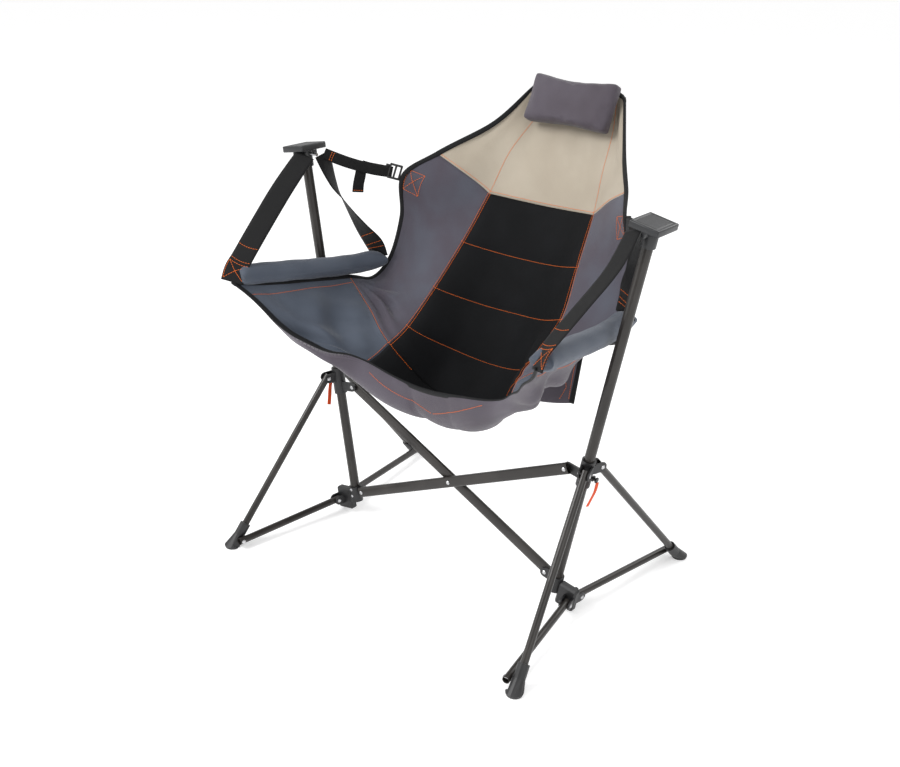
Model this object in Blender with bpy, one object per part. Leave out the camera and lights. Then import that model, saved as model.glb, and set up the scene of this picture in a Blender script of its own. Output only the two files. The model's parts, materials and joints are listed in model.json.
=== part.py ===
"""Folding camp chair with a hammock seat that swings from two leaning posts.

World frame: +X towards the sitter's left, +Y towards the back, +Z up, origin on the floor in the middle of the
chair's outline. The chair is modelled with the posts in the plane y = 0, then moved forward onto that origin.
Each side of the frame is modelled in its own post frame: u points outward, y back and w up along the post,
with its origin on the post's axis at its lower end. The side on -X is the mirror image of the one on +X.
"""

import math
from dataclasses import dataclass

import bmesh
import bpy
from mathutils import Matrix, Vector

# ---------------------------------------------------------------- driving dimensions, in metres and degrees
GAP = 0.0004  # between pieces that touch

# Cross bars: flat oval tube, pivoted to each other at their crossing
BAR_LOWER = 0.2918
BAR_UPPER = 0.3290
BAR_OPEN_ANGLE = 25.16
BAR_FOLDED_ANGLE = 74.0
BAR_HEIGHT = 0.025
BAR_THICKNESS = 0.012
BAR_WALL = 0.0014
BAR_PAST_PIVOT = 0.0079
CROSS_HEIGHT = 0.196

# Posts, caps, collars and base hubs
POST_RADIUS = 0.011
POST_WALL = 0.0012
POST_LENGTH = 0.830
CAP_LENGTH = 0.072
CAP_WIDTH = 0.060
CAP_THICKNESS = 0.013
CAP_SLEEVE_LENGTH = 0.036
SLEEVE_WALL = 0.0038
COLLAR_HEIGHT = 0.062
CHEEK_RADIUS = 0.0105
CHEEK_THICKNESS = 0.0035
LUG_THICKNESS = 0.0055
HUB_HEIGHT = 0.054
HUB_HALF_THICKNESS = 0.010

# Where the pivots sit in a post frame: the cross bar's end swings clear of the hub's cup
BAR_END_REACH = math.hypot(BAR_HEIGHT / 2, BAR_PAST_PIVOT)
BAR_BASE_PIVOT = Vector((-(POST_RADIUS + SLEEVE_WALL + GAP + BAR_END_REACH), 0.0, 0.017))
BAR_COLLAR_OFFSET = -0.044
LEG_PIVOT_ABOVE_BAR = 0.025
LEG_PIVOT_REACH = 0.030
STRUT_PIVOT = Vector((0.046, 0.024, -0.009))

# Legs, struts and boots
LEG_RADIUS = 0.008
LEG_WALL = 0.0011
TUBE_PAST_PIVOT = 0.008
FOOT_X = 0.400
FOOT_FRONT_Y = -0.283
FOOT_REAR_Y = 0.332
FOOT_PIVOT_HEIGHT = 0.019
BOOT_LENGTH = 0.048
BOOT_WALL = 0.0042
BOOT_TOE = 0.0185
STUB_MARGIN = 0.0020
STRUT_OFFSET = 2 * LEG_RADIUS + BOOT_WALL + STUB_MARGIN

# Rivets and the lock pin
RIVET_RADIUS = 0.0025
RIVET_HEAD_RADIUS = 0.0048
RIVET_HEAD_HEIGHT = 0.0016
PIN_RADIUS = 0.0028
TAB_WIDTH = 0.010
TAB_LENGTH = 0.052

# Hammock
STRAP_WIDTH = 0.050
STRAP_THICKNESS = 0.0020
RIBBON_STEPS = 3
RECLINE_WIDTH = 0.025
FABRIC_THICKNESS = 0.0026
ARM_RADIUS = 0.021
PILLOW_WIDTH = 0.222
PILLOW_HEIGHT = 0.118
PILLOW_DEPTH = 0.036
POUCH_WIDTH = 0.340
POUCH_DEPTH = 0.016
HANGER_RADIUS = 0.0035

POST_PLANE_Y = -0.06845  # where the posts' plane ends up, with the origin in the middle of the chair's depth
SIDES = {"left": -1, "right": 1}


# ---------------------------------------------------------------- materials
@dataclass(frozen=True)
class Finish:
    """Base colour (linear RGB), roughness and metallic value of one material."""

    colour: tuple
    roughness: float
    metallic: float = 0.0


FINISHES = {
    "frame_steel": Finish((0.030, 0.026, 0.023), 0.38, 0.4),
    "black_plastic": Finish((0.010, 0.010, 0.011), 0.5),
    "rivet_steel": Finish((0.55, 0.55, 0.56), 0.3, 1.0),
    "pull_red": Finish((0.55, 0.03, 0.015), 0.7),
    "webbing": Finish((0.012, 0.012, 0.013), 0.85),
    "grey_fabric": Finish((0.105, 0.092, 0.115), 0.8),
    "blue_grey_fabric": Finish((0.110, 0.130, 0.160), 0.8),
}


def material(name: str) -> bpy.types.Material:
    """The named material, made on first use."""
    found = bpy.data.materials.get(name)
    if found:
        return found
    finish = FINISHES[name]
    made = bpy.data.materials.new(name)
    made.use_nodes = True
    shader = made.node_tree.nodes["Principled BSDF"]
    shader.inputs["Base Color"].default_value = (*finish.colour, 1.0)
    shader.inputs["Roughness"].default_value = finish.roughness
    shader.inputs["Metallic"].default_value = finish.metallic
    return made


# ---------------------------------------------------------------- fold geometry
def bar_ends(angle: float) -> tuple[Vector, Vector]:
    """Lower and upper pivot of a cross bar on the +X side, with the bars this many degrees above level."""
    turn = math.radians(angle)
    lower = Vector((BAR_LOWER * math.cos(turn), 0, CROSS_HEIGHT - BAR_LOWER * math.sin(turn)))
    upper = Vector((BAR_UPPER * math.cos(turn), 0, CROSS_HEIGHT + BAR_UPPER * math.sin(turn)))
    return lower, upper


def post_lean(angle: float) -> float:
    """How far a post leans outward, in radians, at this bar angle."""
    lower, upper = bar_ends(angle)
    across = upper - lower
    inset = BAR_BASE_PIVOT.x - BAR_COLLAR_OFFSET
    return math.atan2(across.x, across.z) + math.asin(inset / across.length)


def collar_height(angle: float) -> float:
    """Height of the bar's upper pivot along the post (w) at this bar angle."""
    lower, upper = bar_ends(angle)
    inset = BAR_BASE_PIVOT.x - BAR_COLLAR_OFFSET
    return BAR_BASE_PIVOT.z + math.sqrt((upper - lower).length_squared - inset**2)


def post_frame(angle: float = BAR_OPEN_ANGLE) -> Matrix:
    """Post frame of the +X side in the world, at this bar angle."""
    lean = post_lean(angle)
    outward = Vector((math.cos(lean), 0, -math.sin(lean)))
    upward = Vector((math.sin(lean), 0, math.cos(lean)))
    origin = bar_ends(angle)[0] - BAR_BASE_PIVOT.x * outward - BAR_BASE_PIVOT.z * upward
    frame = Matrix((outward, (0, 1, 0), upward)).transposed().to_4x4()
    frame.translation = origin
    return frame


@dataclass(frozen=True)
class LegSet:
    """One leg and its strut in the post frame, open and folded, with the hinge axes between the two."""

    end: str
    collar_pivot: Vector
    strut_pivot: Vector
    foot: Vector
    strut_foot: Vector
    leg_axis: Vector
    strut_axis: Vector
    leg_turn: float
    strut_turn: float


def hinge_between(before: Vector, after: Vector) -> tuple[Vector, float]:
    """The axis and angle that turn one direction into the other."""
    return before.cross(after).normalized(), before.angle(after)


def leg_set(end: str) -> LegSet:
    """The front or rear leg of the +X side."""
    facing = -1 if end == "front" else 1
    open_w = collar_height(BAR_OPEN_ANGLE) + LEG_PIVOT_ABOVE_BAR
    rise = collar_height(BAR_FOLDED_ANGLE) - collar_height(BAR_OPEN_ANGLE)
    foot_y = FOOT_FRONT_Y if end == "front" else FOOT_REAR_Y
    foot = post_frame().inverted() @ Vector((FOOT_X, foot_y, FOOT_PIVOT_HEIGHT))
    collar_pivot = Vector((foot.x, foot.y, 0)).normalized() * LEG_PIVOT_REACH + Vector((0, 0, open_w))
    strut_pivot = Vector((STRUT_PIVOT.x, facing * STRUT_PIVOT.y, STRUT_PIVOT.z))
    leg = foot - collar_pivot
    plane = leg.cross(foot - strut_pivot).normalized() * facing
    inner = plane if plane.x < 0 else -plane
    strut_foot = foot + inner * STRUT_OFFSET
    strut = strut_foot - strut_pivot
    # folded, nearly: the two lengths close a triangle between the strut pivot and the risen collar pivot
    top = collar_pivot + Vector((0, 0, rise))
    line = top - strut_pivot
    along = (strut.length_squared + line.length_squared - leg.length_squared) / (2 * line.length)
    knee = math.sqrt(strut.length_squared - along**2)
    out = Vector((foot.x, foot.y, 0)).normalized()
    out = (out - out.project(line)).normalized()
    leg_axis, most = hinge_between(leg, strut_pivot + line.normalized() * along + out * knee - top)
    # then exactly: the leg turns until its strut, which keeps its length, reaches the boot again
    low, high = 0.0, 1.4 * most
    for _ in range(50):
        leg_turn = (low + high) / 2
        reach = top + Matrix.Rotation(leg_turn, 3, leg_axis) @ (strut_foot - collar_pivot) - strut_pivot
        low, high = (leg_turn, high) if reach.length > strut.length else (low, leg_turn)
    strut_axis, strut_turn = hinge_between(strut, reach)
    return LegSet(end, collar_pivot, strut_pivot, foot, strut_foot, leg_axis, strut_axis, leg_turn, strut_turn)


# ---------------------------------------------------------------- modelling helpers
def clear_scene() -> None:
    """Removes whatever the scene already holds."""
    for obj in list(bpy.data.objects):
        bpy.data.objects.remove(obj, do_unlink=True)


def new_object(name: str, mesh: bpy.types.Mesh, finish: str, parent=None, place=None) -> bpy.types.Object:
    """An object in the scene, smooth with sharp edges kept, placed in its parent's frame."""
    obj = bpy.data.objects.new(name, mesh)
    bpy.context.collection.objects.link(obj)
    mesh.shade_smooth()
    mesh.set_sharp_from_angle(angle=math.radians(35))
    mesh.materials.append(material(finish))
    obj.parent = parent
    obj.matrix_local = place or Matrix()
    return obj


def helper(name: str, mesh: bpy.types.Mesh, parent, place) -> bpy.types.Object:
    """A hidden shape that a Boolean uses."""
    obj = bpy.data.objects.new(name, mesh)
    bpy.context.collection.objects.link(obj)
    obj.parent = parent
    obj.matrix_local = place
    obj.hide_render = True
    obj.display_type = "WIRE"
    return obj


def combine(obj: bpy.types.Object, other: bpy.types.Object, operation: str) -> None:
    """Adds a Boolean to the object."""
    modifier = obj.modifiers.new(other.name, "BOOLEAN")
    modifier.operation = operation
    modifier.object = other
    modifier.solver = "EXACT"


def looking(origin: Vector, direction: Vector, up: Vector | None = None) -> Matrix:
    """A frame at the origin whose Z runs along the direction, and whose X lies nearest to up."""
    z = direction.normalized()
    hint = up or (Vector((1, 0, 0)) if abs(z.x) < 0.9 else Vector((0, 1, 0)))
    x = (hint - hint.project(z)).normalized()
    frame = Matrix((x, z.cross(x), z)).transposed().to_4x4()
    frame.translation = origin
    return frame


def rings_mesh(name: str, rings: list, closed_loop: bool = False, thin: bool = False) -> bpy.types.Mesh:
    """A closed surface through equal rings of points: capped at both ends, or joined back to the first ring.

    A thin section that twists is split into triangles whose diagonals match on its two faces, which keeps them apart.
    """
    bm = bmesh.new()
    loops = [[bm.verts.new(point) for point in ring] for ring in rings]
    pairs = list(zip(loops, loops[1:]))
    if closed_loop:
        pairs.append((loops[-1], loops[0]))
    for lower, upper in pairs:
        count = len(lower)
        for i in range(count):
            quad = [lower[i], lower[(i + 1) % count], upper[(i + 1) % count], upper[i]]
            if not thin:
                bm.faces.new(quad)
                continue
            if 2 * i >= count:
                quad = quad[1:] + quad[:1]
            bm.faces.new(quad[:3])
            bm.faces.new((quad[2], quad[3], quad[0]))
    if not closed_loop:
        bm.faces.new(reversed(loops[0]))
        bm.faces.new(loops[-1])
    if bm.calc_volume(signed=True) < 0:
        bmesh.ops.reverse_faces(bm, faces=bm.faces)
    mesh = bpy.data.meshes.new(name)
    bm.to_mesh(mesh)
    bm.free()
    return mesh


def ring(radius: float, z: float, sides: int, squash: float = 1.0) -> list:
    """A ring of points about Z, narrowed along Y by squash."""
    turns = (2 * math.pi * i / sides for i in range(sides))
    return [Vector((radius * math.cos(t), squash * radius * math.sin(t), z)) for t in turns]


def turned_mesh(name: str, profile: list, sides: int) -> bpy.types.Mesh:
    """A solid turned about Z from (radius, z) pairs, with flat ends."""
    return rings_mesh(name, [ring(radius, z, sides) for radius, z in profile])


def pipe_mesh(name: str, radius: float, bore: float, length: float, sides: int = 16) -> bpy.types.Mesh:
    """A tube along Z, open at both ends."""
    loops = [(radius, 0), (radius, length), (bore, length), (bore, 0)]
    return rings_mesh(name, [ring(r, z, sides) for r, z in loops], closed_loop=True)


def box_mesh(name: str, low: Vector, high: Vector, bevel: float = 0.0) -> bpy.types.Mesh:
    """A box between two corners, with its edges bevelled."""
    bm = bmesh.new()
    bmesh.ops.create_cube(bm, size=1)
    for vert in bm.verts:
        vert.co = Vector((low[i] if vert.co[i] < 0 else high[i]) for i in range(3))
    if bevel:
        bmesh.ops.bevel(bm, geom=bm.edges[:], offset=bevel, segments=1, affect="EDGES")
    bmesh.ops.recalc_face_normals(bm, faces=bm.faces)
    mesh = bpy.data.meshes.new(name)
    bm.to_mesh(mesh)
    bm.free()
    return mesh


def stadium_mesh(name: str, length: float, radius: float, thickness: float, sides: int = 12) -> bpy.types.Mesh:
    """A flat link in its XY plane from the origin to +X, round at both ends, centred on Z."""
    half = sides // 2
    far = [math.pi * (i / half - 0.5) for i in range(half + 1)]
    outline = [(length + radius * math.cos(t), radius * math.sin(t)) for t in far]
    outline += [(-radius * math.cos(t), -radius * math.sin(t)) for t in far]
    rings = [[Vector((x, y, z)) for x, y in outline] for z in (-thickness / 2, thickness / 2)]
    return rings_mesh(name, rings)


def link_place(start: Vector, end: Vector, axis: Vector) -> tuple[Matrix, float]:
    """The frame and length of a stadium from start towards end, lying square to the axis."""
    along = (end - start) - (end - start).project(axis)
    return looking(start, axis, along), along.length


def drill(obj, name: str, centre: Vector, axis: Vector, radius: float, length: float, parent, sides: int = 12) -> None:
    """A round hole through the object, centred on a point."""
    mesh = turned_mesh(name, [(radius, -length / 2), (radius, length / 2)], sides)
    combine(obj, helper(name, mesh, parent, looking(centre, axis)), "DIFFERENCE")


def tube(name: str, start: Vector, end: Vector, parent, radius=LEG_RADIUS, wall=LEG_WALL) -> bpy.types.Object:
    """A round steel tube between two points, with its origin at the first."""
    mesh = pipe_mesh(name, radius, radius - wall, (end - start).length)
    return new_object(name, mesh, "frame_steel", parent, looking(start, end - start))


def rivet(name: str, centre: Vector, axis: Vector, grip: float, parent) -> None:
    """A rivet with a domed head at each end, holding pieces this thick together."""
    half = grip / 2 + GAP
    top = half + RIVET_HEAD_HEIGHT
    rim = RIVET_HEAD_RADIUS * 0.6
    profile = [(rim, -top), (RIVET_HEAD_RADIUS, -half), (RIVET_RADIUS, -half)]
    profile += [(RIVET_RADIUS, half), (RIVET_HEAD_RADIUS, half), (rim, top)]
    new_object(name, turned_mesh(name, profile, 10), "rivet_steel", parent, looking(centre, axis))


def headed_pin(name: str, centre: Vector, axis: Vector, parent) -> None:
    """The strut's half of a foot rivet: a shank inside the tube with its domed head on the side the axis points to."""
    seat = LEG_RADIUS + GAP
    profile = [(RIVET_RADIUS, -LEG_RADIUS), (RIVET_RADIUS, seat), (RIVET_HEAD_RADIUS, seat)]
    profile.append((RIVET_HEAD_RADIUS * 0.6, seat + RIVET_HEAD_HEIGHT))
    new_object(name, turned_mesh(name, profile, 10), "rivet_steel", parent, looking(centre, axis))


# ---------------------------------------------------------------- frame, one side
def side_frame(side: str) -> bpy.types.Object:
    """The empty that carries one side of the frame, mirrored for the side on -X."""
    empty = bpy.data.objects.new(f"post_frame_{side}", None)
    bpy.context.collection.objects.link(empty)
    empty.matrix_world = Matrix.Scale(SIDES[side], 4, Vector((1, 0, 0))) @ post_frame()
    return empty


def bar_layer(side: str, at_base: bool) -> float:
    """The Y side on which the cross bar that ends here lies: the front bar runs from the left base to the right collar."""
    front = (side == "left") == at_base
    return -1.0 if front else 1.0


def post(side: str, frame) -> None:
    """The round post."""
    tube(f"post_{side}", Vector(), Vector((0, 0, POST_LENGTH)), frame, POST_RADIUS, POST_WALL)


def post_cap(side: str, frame) -> None:
    """The plate and sleeve on the post's top, slotted under the plate for the webbing's hanger bar."""
    top = POST_LENGTH + GAP
    sleeve_radius = POST_RADIUS + SLEEVE_WALL
    low = Vector((-CAP_WIDTH / 2, -CAP_LENGTH / 2, top))
    high = Vector((CAP_WIDTH / 2, CAP_LENGTH / 2, top + CAP_THICKNESS))
    obj = new_object(f"post_cap_{side}", box_mesh("cap", low, high, 0.003), "black_plastic", frame)
    sleeve = pipe_mesh("sleeve", sleeve_radius, POST_RADIUS + GAP, CAP_SLEEVE_LENGTH + 0.001)
    place = Matrix.Translation((0, 0, top - CAP_SLEEVE_LENGTH))
    combine(obj, helper(f"add_cap_{side}", sleeve, frame, place), "UNION")


def cheeks(obj, label: str, pivot: Vector, root: Vector, axis: Vector, frame) -> None:
    """Two plates either side of a tube's end, square to its hinge axis, running back to the root."""
    for n, way in enumerate((-1, 1)):
        shift = axis * way * (LEG_RADIUS + GAP + CHEEK_THICKNESS / 2)
        place, length = link_place(pivot + shift, root + shift, axis)
        mesh = stadium_mesh("cheek", length, CHEEK_RADIUS, CHEEK_THICKNESS)
        combine(obj, helper(f"add_{label}_{n}", mesh, frame, place), "UNION")


def collar(side: str, frame, legs: list) -> None:
    """The sliding collar: a sleeve round the post, a clevis for each leg and a lug for a cross bar."""
    name = f"collar_{side}"
    bar_w = collar_height(BAR_OPEN_ANGLE)
    middle = bar_w + LEG_PIVOT_ABOVE_BAR / 2
    radius = POST_RADIUS + SLEEVE_WALL
    profile = [(radius, -COLLAR_HEIGHT / 2), (radius, COLLAR_HEIGHT / 2)]
    place = Matrix.Translation((0, 0, middle))
    obj = new_object(name, turned_mesh(name, profile, 24), "black_plastic", frame, place)
    for leg in legs:
        root = Vector((leg.collar_pivot.x, leg.collar_pivot.y, 0)) * 0.3 + Vector((0, 0, leg.collar_pivot.z))
        cheeks(obj, f"{name}_{leg.end}", leg.collar_pivot, root, leg.leg_axis, frame)
    lug_y = -bar_layer(side, False) * (LUG_THICKNESS / 2 + 2 * GAP)
    lug_place, length = link_place(Vector((BAR_COLLAR_OFFSET, lug_y, bar_w)), Vector((0, lug_y, bar_w)), Vector((0, 1, 0)))
    lug = stadium_mesh("lug", length, CHEEK_RADIUS, LUG_THICKNESS)
    combine(obj, helper(f"add_{name}_lug", lug, frame, lug_place), "UNION")
    bore = Vector((0, 0, middle))
    drill(obj, f"cut_{name}_bore", bore, Vector((0, 0, 1)), POST_RADIUS + GAP, 2 * COLLAR_HEIGHT, frame, 24)
    drill(obj, f"cut_{name}_bar", Vector((BAR_COLLAR_OFFSET, 0, bar_w)), Vector((0, 1, 0)), RIVET_RADIUS + GAP, 0.05, frame)
    for leg in legs:
        drill(obj, f"cut_{name}_{leg.end}", leg.collar_pivot, leg.leg_axis, RIVET_RADIUS + GAP, 0.034, frame)
    pin_w = pin_height()
    drill(obj, f"cut_{name}_pin", Vector((0.016, 0, pin_w)), Vector((1, 0, 0)), PIN_RADIUS + GAP, 0.020, frame)


def pin_height() -> float:
    """Height of the lock pin along the post."""
    return collar_height(BAR_OPEN_ANGLE) + LEG_PIVOT_ABOVE_BAR / 2 - 0.004


def lock_pin(side: str, frame) -> None:
    """The sprung pin that locks the collar, with a finger ring turned on its outer end."""
    start = POST_RADIUS + GAP
    knob = start + SLEEVE_WALL + GAP
    profile = [(PIN_RADIUS, start), (PIN_RADIUS, knob + 0.002), (0.0065, knob + 0.002), (0.0065, knob + 0.005)]
    profile += [(0.0035, knob + 0.006), (0.0035, knob + 0.009), (0.0060, knob + 0.010), (0.0060, knob + 0.013)]
    place = looking(Vector((0, 0, pin_height())), Vector((1, 0, 0)))
    new_object(f"lock_pin_{side}", turned_mesh("pin", profile, 14), "black_plastic", frame, place)


def pull_tab(side: str, frame) -> None:
    """The red webbing tab that hangs from the lock pin."""
    x = POST_RADIUS + SLEEVE_WALL + 2 * GAP + 0.0145
    top = pin_height() - 0.0040
    route = [(x, 0, top), (x + 0.002, -0.004, top - 0.018), (x + 0.001, -0.010, top - 0.036), (x, -0.016, top - TAB_LENGTH)]
    mesh = ribbon_mesh("tab", [Vector(p) for p in route], [Vector((0, 1, 0.25))] * len(route), TAB_WIDTH, 0.0016)
    new_object(f"pull_tab_{side}", mesh, "pull_red", frame)


def base_hub(side: str, frame, legs: list) -> None:
    """The hub at the post's foot: a cup under the tube, a block outside it with strut clevises, and a bar lug."""
    name = f"base_hub_{side}"
    bottom = STRUT_PIVOT.z - HUB_HEIGHT / 2
    block_low = Vector((POST_RADIUS + GAP, -HUB_HALF_THICKNESS, bottom))
    block_high = Vector((STRUT_PIVOT.x + CHEEK_RADIUS, HUB_HALF_THICKNESS, bottom + HUB_HEIGHT))
    obj = new_object(name, box_mesh("hub", block_low, block_high, 0.004), "black_plastic", frame)
    cup_radius = POST_RADIUS + SLEEVE_WALL
    cup = turned_mesh("cup", [(cup_radius, -0.012), (cup_radius, 0.026)], 24)
    combine(obj, helper(f"add_{name}_cup", cup, frame, Matrix()), "UNION")
    for leg in legs:
        root = Vector((STRUT_PIVOT.x, leg.strut_pivot.y * 0.2, STRUT_PIVOT.z))
        cheeks(obj, f"{name}_{leg.end}", leg.strut_pivot, root, leg.strut_axis, frame)
    lug_y = -bar_layer(side, True) * (LUG_THICKNESS / 2 + 2 * GAP)
    pivot = Vector((BAR_BASE_PIVOT.x, lug_y, BAR_BASE_PIVOT.z))
    lug_place, length = link_place(pivot, Vector((0, lug_y, BAR_BASE_PIVOT.z)), Vector((0, 1, 0)))
    lug = stadium_mesh("lug", length, CHEEK_RADIUS, LUG_THICKNESS)
    combine(obj, helper(f"add_{name}_lug", lug, frame, lug_place), "UNION")
    socket = Vector((0, 0, 0.050 - GAP))
    drill(obj, f"cut_{name}_bore", socket, Vector((0, 0, 1)), POST_RADIUS + GAP, 0.100, frame, 24)
    drill(obj, f"cut_{name}_bar", BAR_BASE_PIVOT, Vector((0, 1, 0)), RIVET_RADIUS + GAP, 0.05, frame)
    for leg in legs:
        drill(obj, f"cut_{name}_{leg.end}", leg.strut_pivot, leg.strut_axis, RIVET_RADIUS + GAP, 0.034, frame)


def leg_and_strut(side: str, frame, leg: LegSet) -> None:
    """A leg with its boot and a strut, with the rivets at their pivots."""
    along = (leg.foot - leg.collar_pivot).normalized()
    reach = (leg.strut_foot - leg.strut_pivot).normalized()
    name = f"{leg.end}_{side}"
    leg_end = leg.foot - along * (BOOT_TOE * 0.2)
    leg_tube = tube(f"leg_{name}", leg.collar_pivot - along * TUBE_PAST_PIVOT, leg_end, frame)
    strut_end = leg.strut_foot + reach * TUBE_PAST_PIVOT
    strut_tube = tube(f"strut_{name}", leg.strut_pivot - reach * TUBE_PAST_PIVOT, strut_end, frame)
    hole = RIVET_RADIUS + GAP
    grip = 2 * (LEG_RADIUS + GAP + CHEEK_THICKNESS)
    drill(leg_tube, f"cut_leg_{name}", leg.collar_pivot, leg.leg_axis, hole, 4 * LEG_RADIUS, frame)
    drill(strut_tube, f"cut_strut_{name}", leg.strut_pivot, leg.strut_axis, hole, 4 * LEG_RADIUS, frame)
    rivet(f"rivet_leg_{name}", leg.collar_pivot, leg.leg_axis, grip, frame)
    rivet(f"rivet_strut_{name}", leg.strut_pivot, leg.strut_axis, grip, frame)
    boot(name, leg, along, leg_end, frame)
    # the strut's foot end turns on a stub on the boot's inner side
    inward = (leg.strut_foot - leg.foot).normalized()
    drill(strut_tube, f"cut_strut_foot_{name}", leg.strut_foot, inward, hole, 4 * LEG_RADIUS, frame)
    headed_pin(f"rivet_foot_{name}", leg.strut_foot, inward, frame)


def boot(name: str, leg: LegSet, along: Vector, leg_end: Vector, frame) -> None:
    """The plastic boot on a leg's end: a cup round the tube that widens to a flat sole on the floor."""
    to_world = frame.matrix_world
    to_frame = to_world.inverted()
    down = (to_frame.to_3x3() @ Vector((0, 0, -1))).normalized()
    sole = leg.foot + along * (FOOT_PIVOT_HEIGHT / max(along.dot(down), 0.2))
    cup_radius = LEG_RADIUS + BOOT_WALL
    rings = []
    for back, radius in ((BOOT_LENGTH, cup_radius), (0.018, cup_radius)):
        place = looking(leg.foot - along * (back - 0.012), along)
        rings.append([place @ point for point in ring(radius, 0, 16)])
    floor = looking(sole, down, place.col[0].to_3d())
    shift = -down * 0.006
    rings.append([floor @ point + shift for point in ring(BOOT_TOE, 0, 16)])
    rings.append([floor @ point for point in ring(BOOT_TOE - 0.002, 0, 16)])
    mesh = rings_mesh(f"boot_{name}", rings)
    obj = new_object(f"foot_{name}", mesh, "black_plastic", frame)
    inward = (leg.strut_foot - leg.foot).normalized()
    stub_length = STRUT_OFFSET - LEG_RADIUS - 3 * GAP
    # a flat on the inner side, so that the strut turns past the sole
    facing = turned_mesh("facing", [(0.022, stub_length), (0.022, 2 * stub_length)], 20)
    combine(obj, helper(f"cut_foot_facing_{name}", facing, frame, looking(leg.foot, inward)), "DIFFERENCE")
    stub = turned_mesh("stub", [(0.0085, 0), (0.0085, stub_length)], 14)
    combine(obj, helper(f"add_foot_{name}", stub, frame, looking(leg.foot, inward)), "UNION")
    socket = turned_mesh("socket", [(LEG_RADIUS + GAP, 0), (LEG_RADIUS + GAP, 0.1)], 16)
    place = looking(leg_end + along * GAP, -along)
    combine(obj, helper(f"cut_foot_{name}", socket, frame, place), "DIFFERENCE")
    drill(obj, f"cut_foot_rivet_{name}", leg.strut_foot, inward, RIVET_RADIUS + GAP, 2 * STRUT_OFFSET + 0.010, frame)


def build_side(side: str) -> None:
    """Everything rigid on one side of the frame."""
    frame = side_frame(side)
    bpy.context.view_layer.update()
    legs = [leg_set("front"), leg_set("rear")]
    post(side, frame)
    post_cap(side, frame)
    collar(side, frame, legs)
    lock_pin(side, frame)
    pull_tab(side, frame)
    base_hub(side, frame, legs)
    for leg in legs:
        leg_and_strut(side, frame, leg)


# ---------------------------------------------------------------- cross bars
def cross_bar(name: str, base_side: str, layer: float) -> None:
    """One cross bar from the base of a side to the collar of the other, drilled at its three pivots."""
    lower, upper = bar_ends(BAR_OPEN_ANGLE)
    start = Vector((SIDES[base_side] * lower.x, 0, lower.z))
    end = Vector((-SIDES[base_side] * upper.x, 0, upper.z))
    middle = layer * (BAR_THICKNESS / 2 + GAP)
    along = (end - start).normalized()
    length = (end - start).length + 2 * BAR_PAST_PIVOT
    rings = []
    for inset, z in ((0, 0), (0, length), (BAR_WALL, length), (BAR_WALL, 0)):
        outline = []
        for point in ring(BAR_HEIGHT / 2 - inset, z, 20):
            side_y = math.copysign(abs(point.y / (BAR_HEIGHT / 2 - inset)) ** 0.5, point.y)
            outline.append(Vector((point.x, side_y * (BAR_THICKNESS / 2 - inset), z)))
        rings.append(outline)
    mesh = rings_mesh(name, rings, closed_loop=True)
    place = looking(start - along * BAR_PAST_PIVOT, along, Vector((0, 0, 1)))
    place.translation.y = middle
    obj = new_object(name, mesh, "frame_steel", None, place)
    for n, pivot in enumerate((start, Vector((0, 0, CROSS_HEIGHT)), end)):
        drill(obj, f"cut_{name}_{n}", pivot, Vector((0, 1, 0)), RIVET_RADIUS + GAP, 0.06, None)
    lug_side = LUG_THICKNESS + 2 * GAP
    for pivot, label in ((start, f"base_{base_side}"), (end, f"collar_{'right' if base_side == 'left' else 'left'}")):
        centre = pivot + Vector((0, layer * (BAR_THICKNESS + GAP - lug_side) / 2, 0))
        rivet(f"rivet_bar_{label}", centre, Vector((0, 1, 0)), BAR_THICKNESS + GAP + lug_side, None)


def cross_bars() -> None:
    """The two bars and the rivet at their crossing."""
    cross_bar("cross_bar_front", "left", -1.0)
    cross_bar("cross_bar_rear", "right", 1.0)
    grip = 2 * (BAR_THICKNESS + 2 * GAP)
    rivet("cross_rivet", Vector((0, 0, CROSS_HEIGHT)), Vector((0, 1, 0)), grip, None)


# ---------------------------------------------------------------- hammock
def ribbon_mesh(name: str, route: list, across: list, width, thickness: float) -> bpy.types.Mesh:
    """A flat strap along a route, with its width along the given directions, both smoothed between the given points."""
    widths = width if isinstance(width, list) else [width] * len(route)
    last = len(route) - 1
    stations = []
    for i in range(last * RIBBON_STEPS + 1):
        n, share = min(i // RIBBON_STEPS, last - 1), i / RIBBON_STEPS - min(i // RIBBON_STEPS, last - 1)
        before, after = route[max(n - 1, 0)], route[min(n + 2, last)]
        pull_in, pull_out = (route[n + 1] - before) / 2, (after - route[n]) / 2
        point = (
            route[n] * (2 * share**3 - 3 * share**2 + 1)
            + pull_in * (share**3 - 2 * share**2 + share)
            + route[n + 1] * (3 * share**2 - 2 * share**3)
            + pull_out * (share**3 - share**2)
        )
        turn = across[n].normalized().lerp(across[n + 1].normalized(), share)
        stations.append((point, turn, widths[n] + (widths[n + 1] - widths[n]) * share))
    rings = []
    for i, (point, turn, wide) in enumerate(stations):
        ahead = stations[min(i + 1, len(stations) - 1)][0] - stations[max(i - 1, 0)][0]
        side = (turn - turn.project(ahead)).normalized() * wide / 2
        face = ahead.cross(side).normalized() * thickness / 2
        rings.append([point - side - face, point + side - face, point + side + face, point - side + face])
    return rings_mesh(name, rings, thin=True)


def hammock_frame(side: str) -> bpy.types.Object:
    """The empty that carries the hammock's pieces of one side, mirrored for the side on -X."""
    empty = bpy.data.objects.new(f"hammock_frame_{side}", None)
    bpy.context.collection.objects.link(empty)
    empty.matrix_world = Matrix.Scale(SIDES[side], 4, Vector((1, 0, 0)))
    return empty


def cap_point(u: float, y: float, w: float) -> Vector:
    """A point near the top of the +X post, in the world: w is measured up from the post's end."""
    return post_frame() @ Vector((u, y, POST_LENGTH + w))


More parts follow.
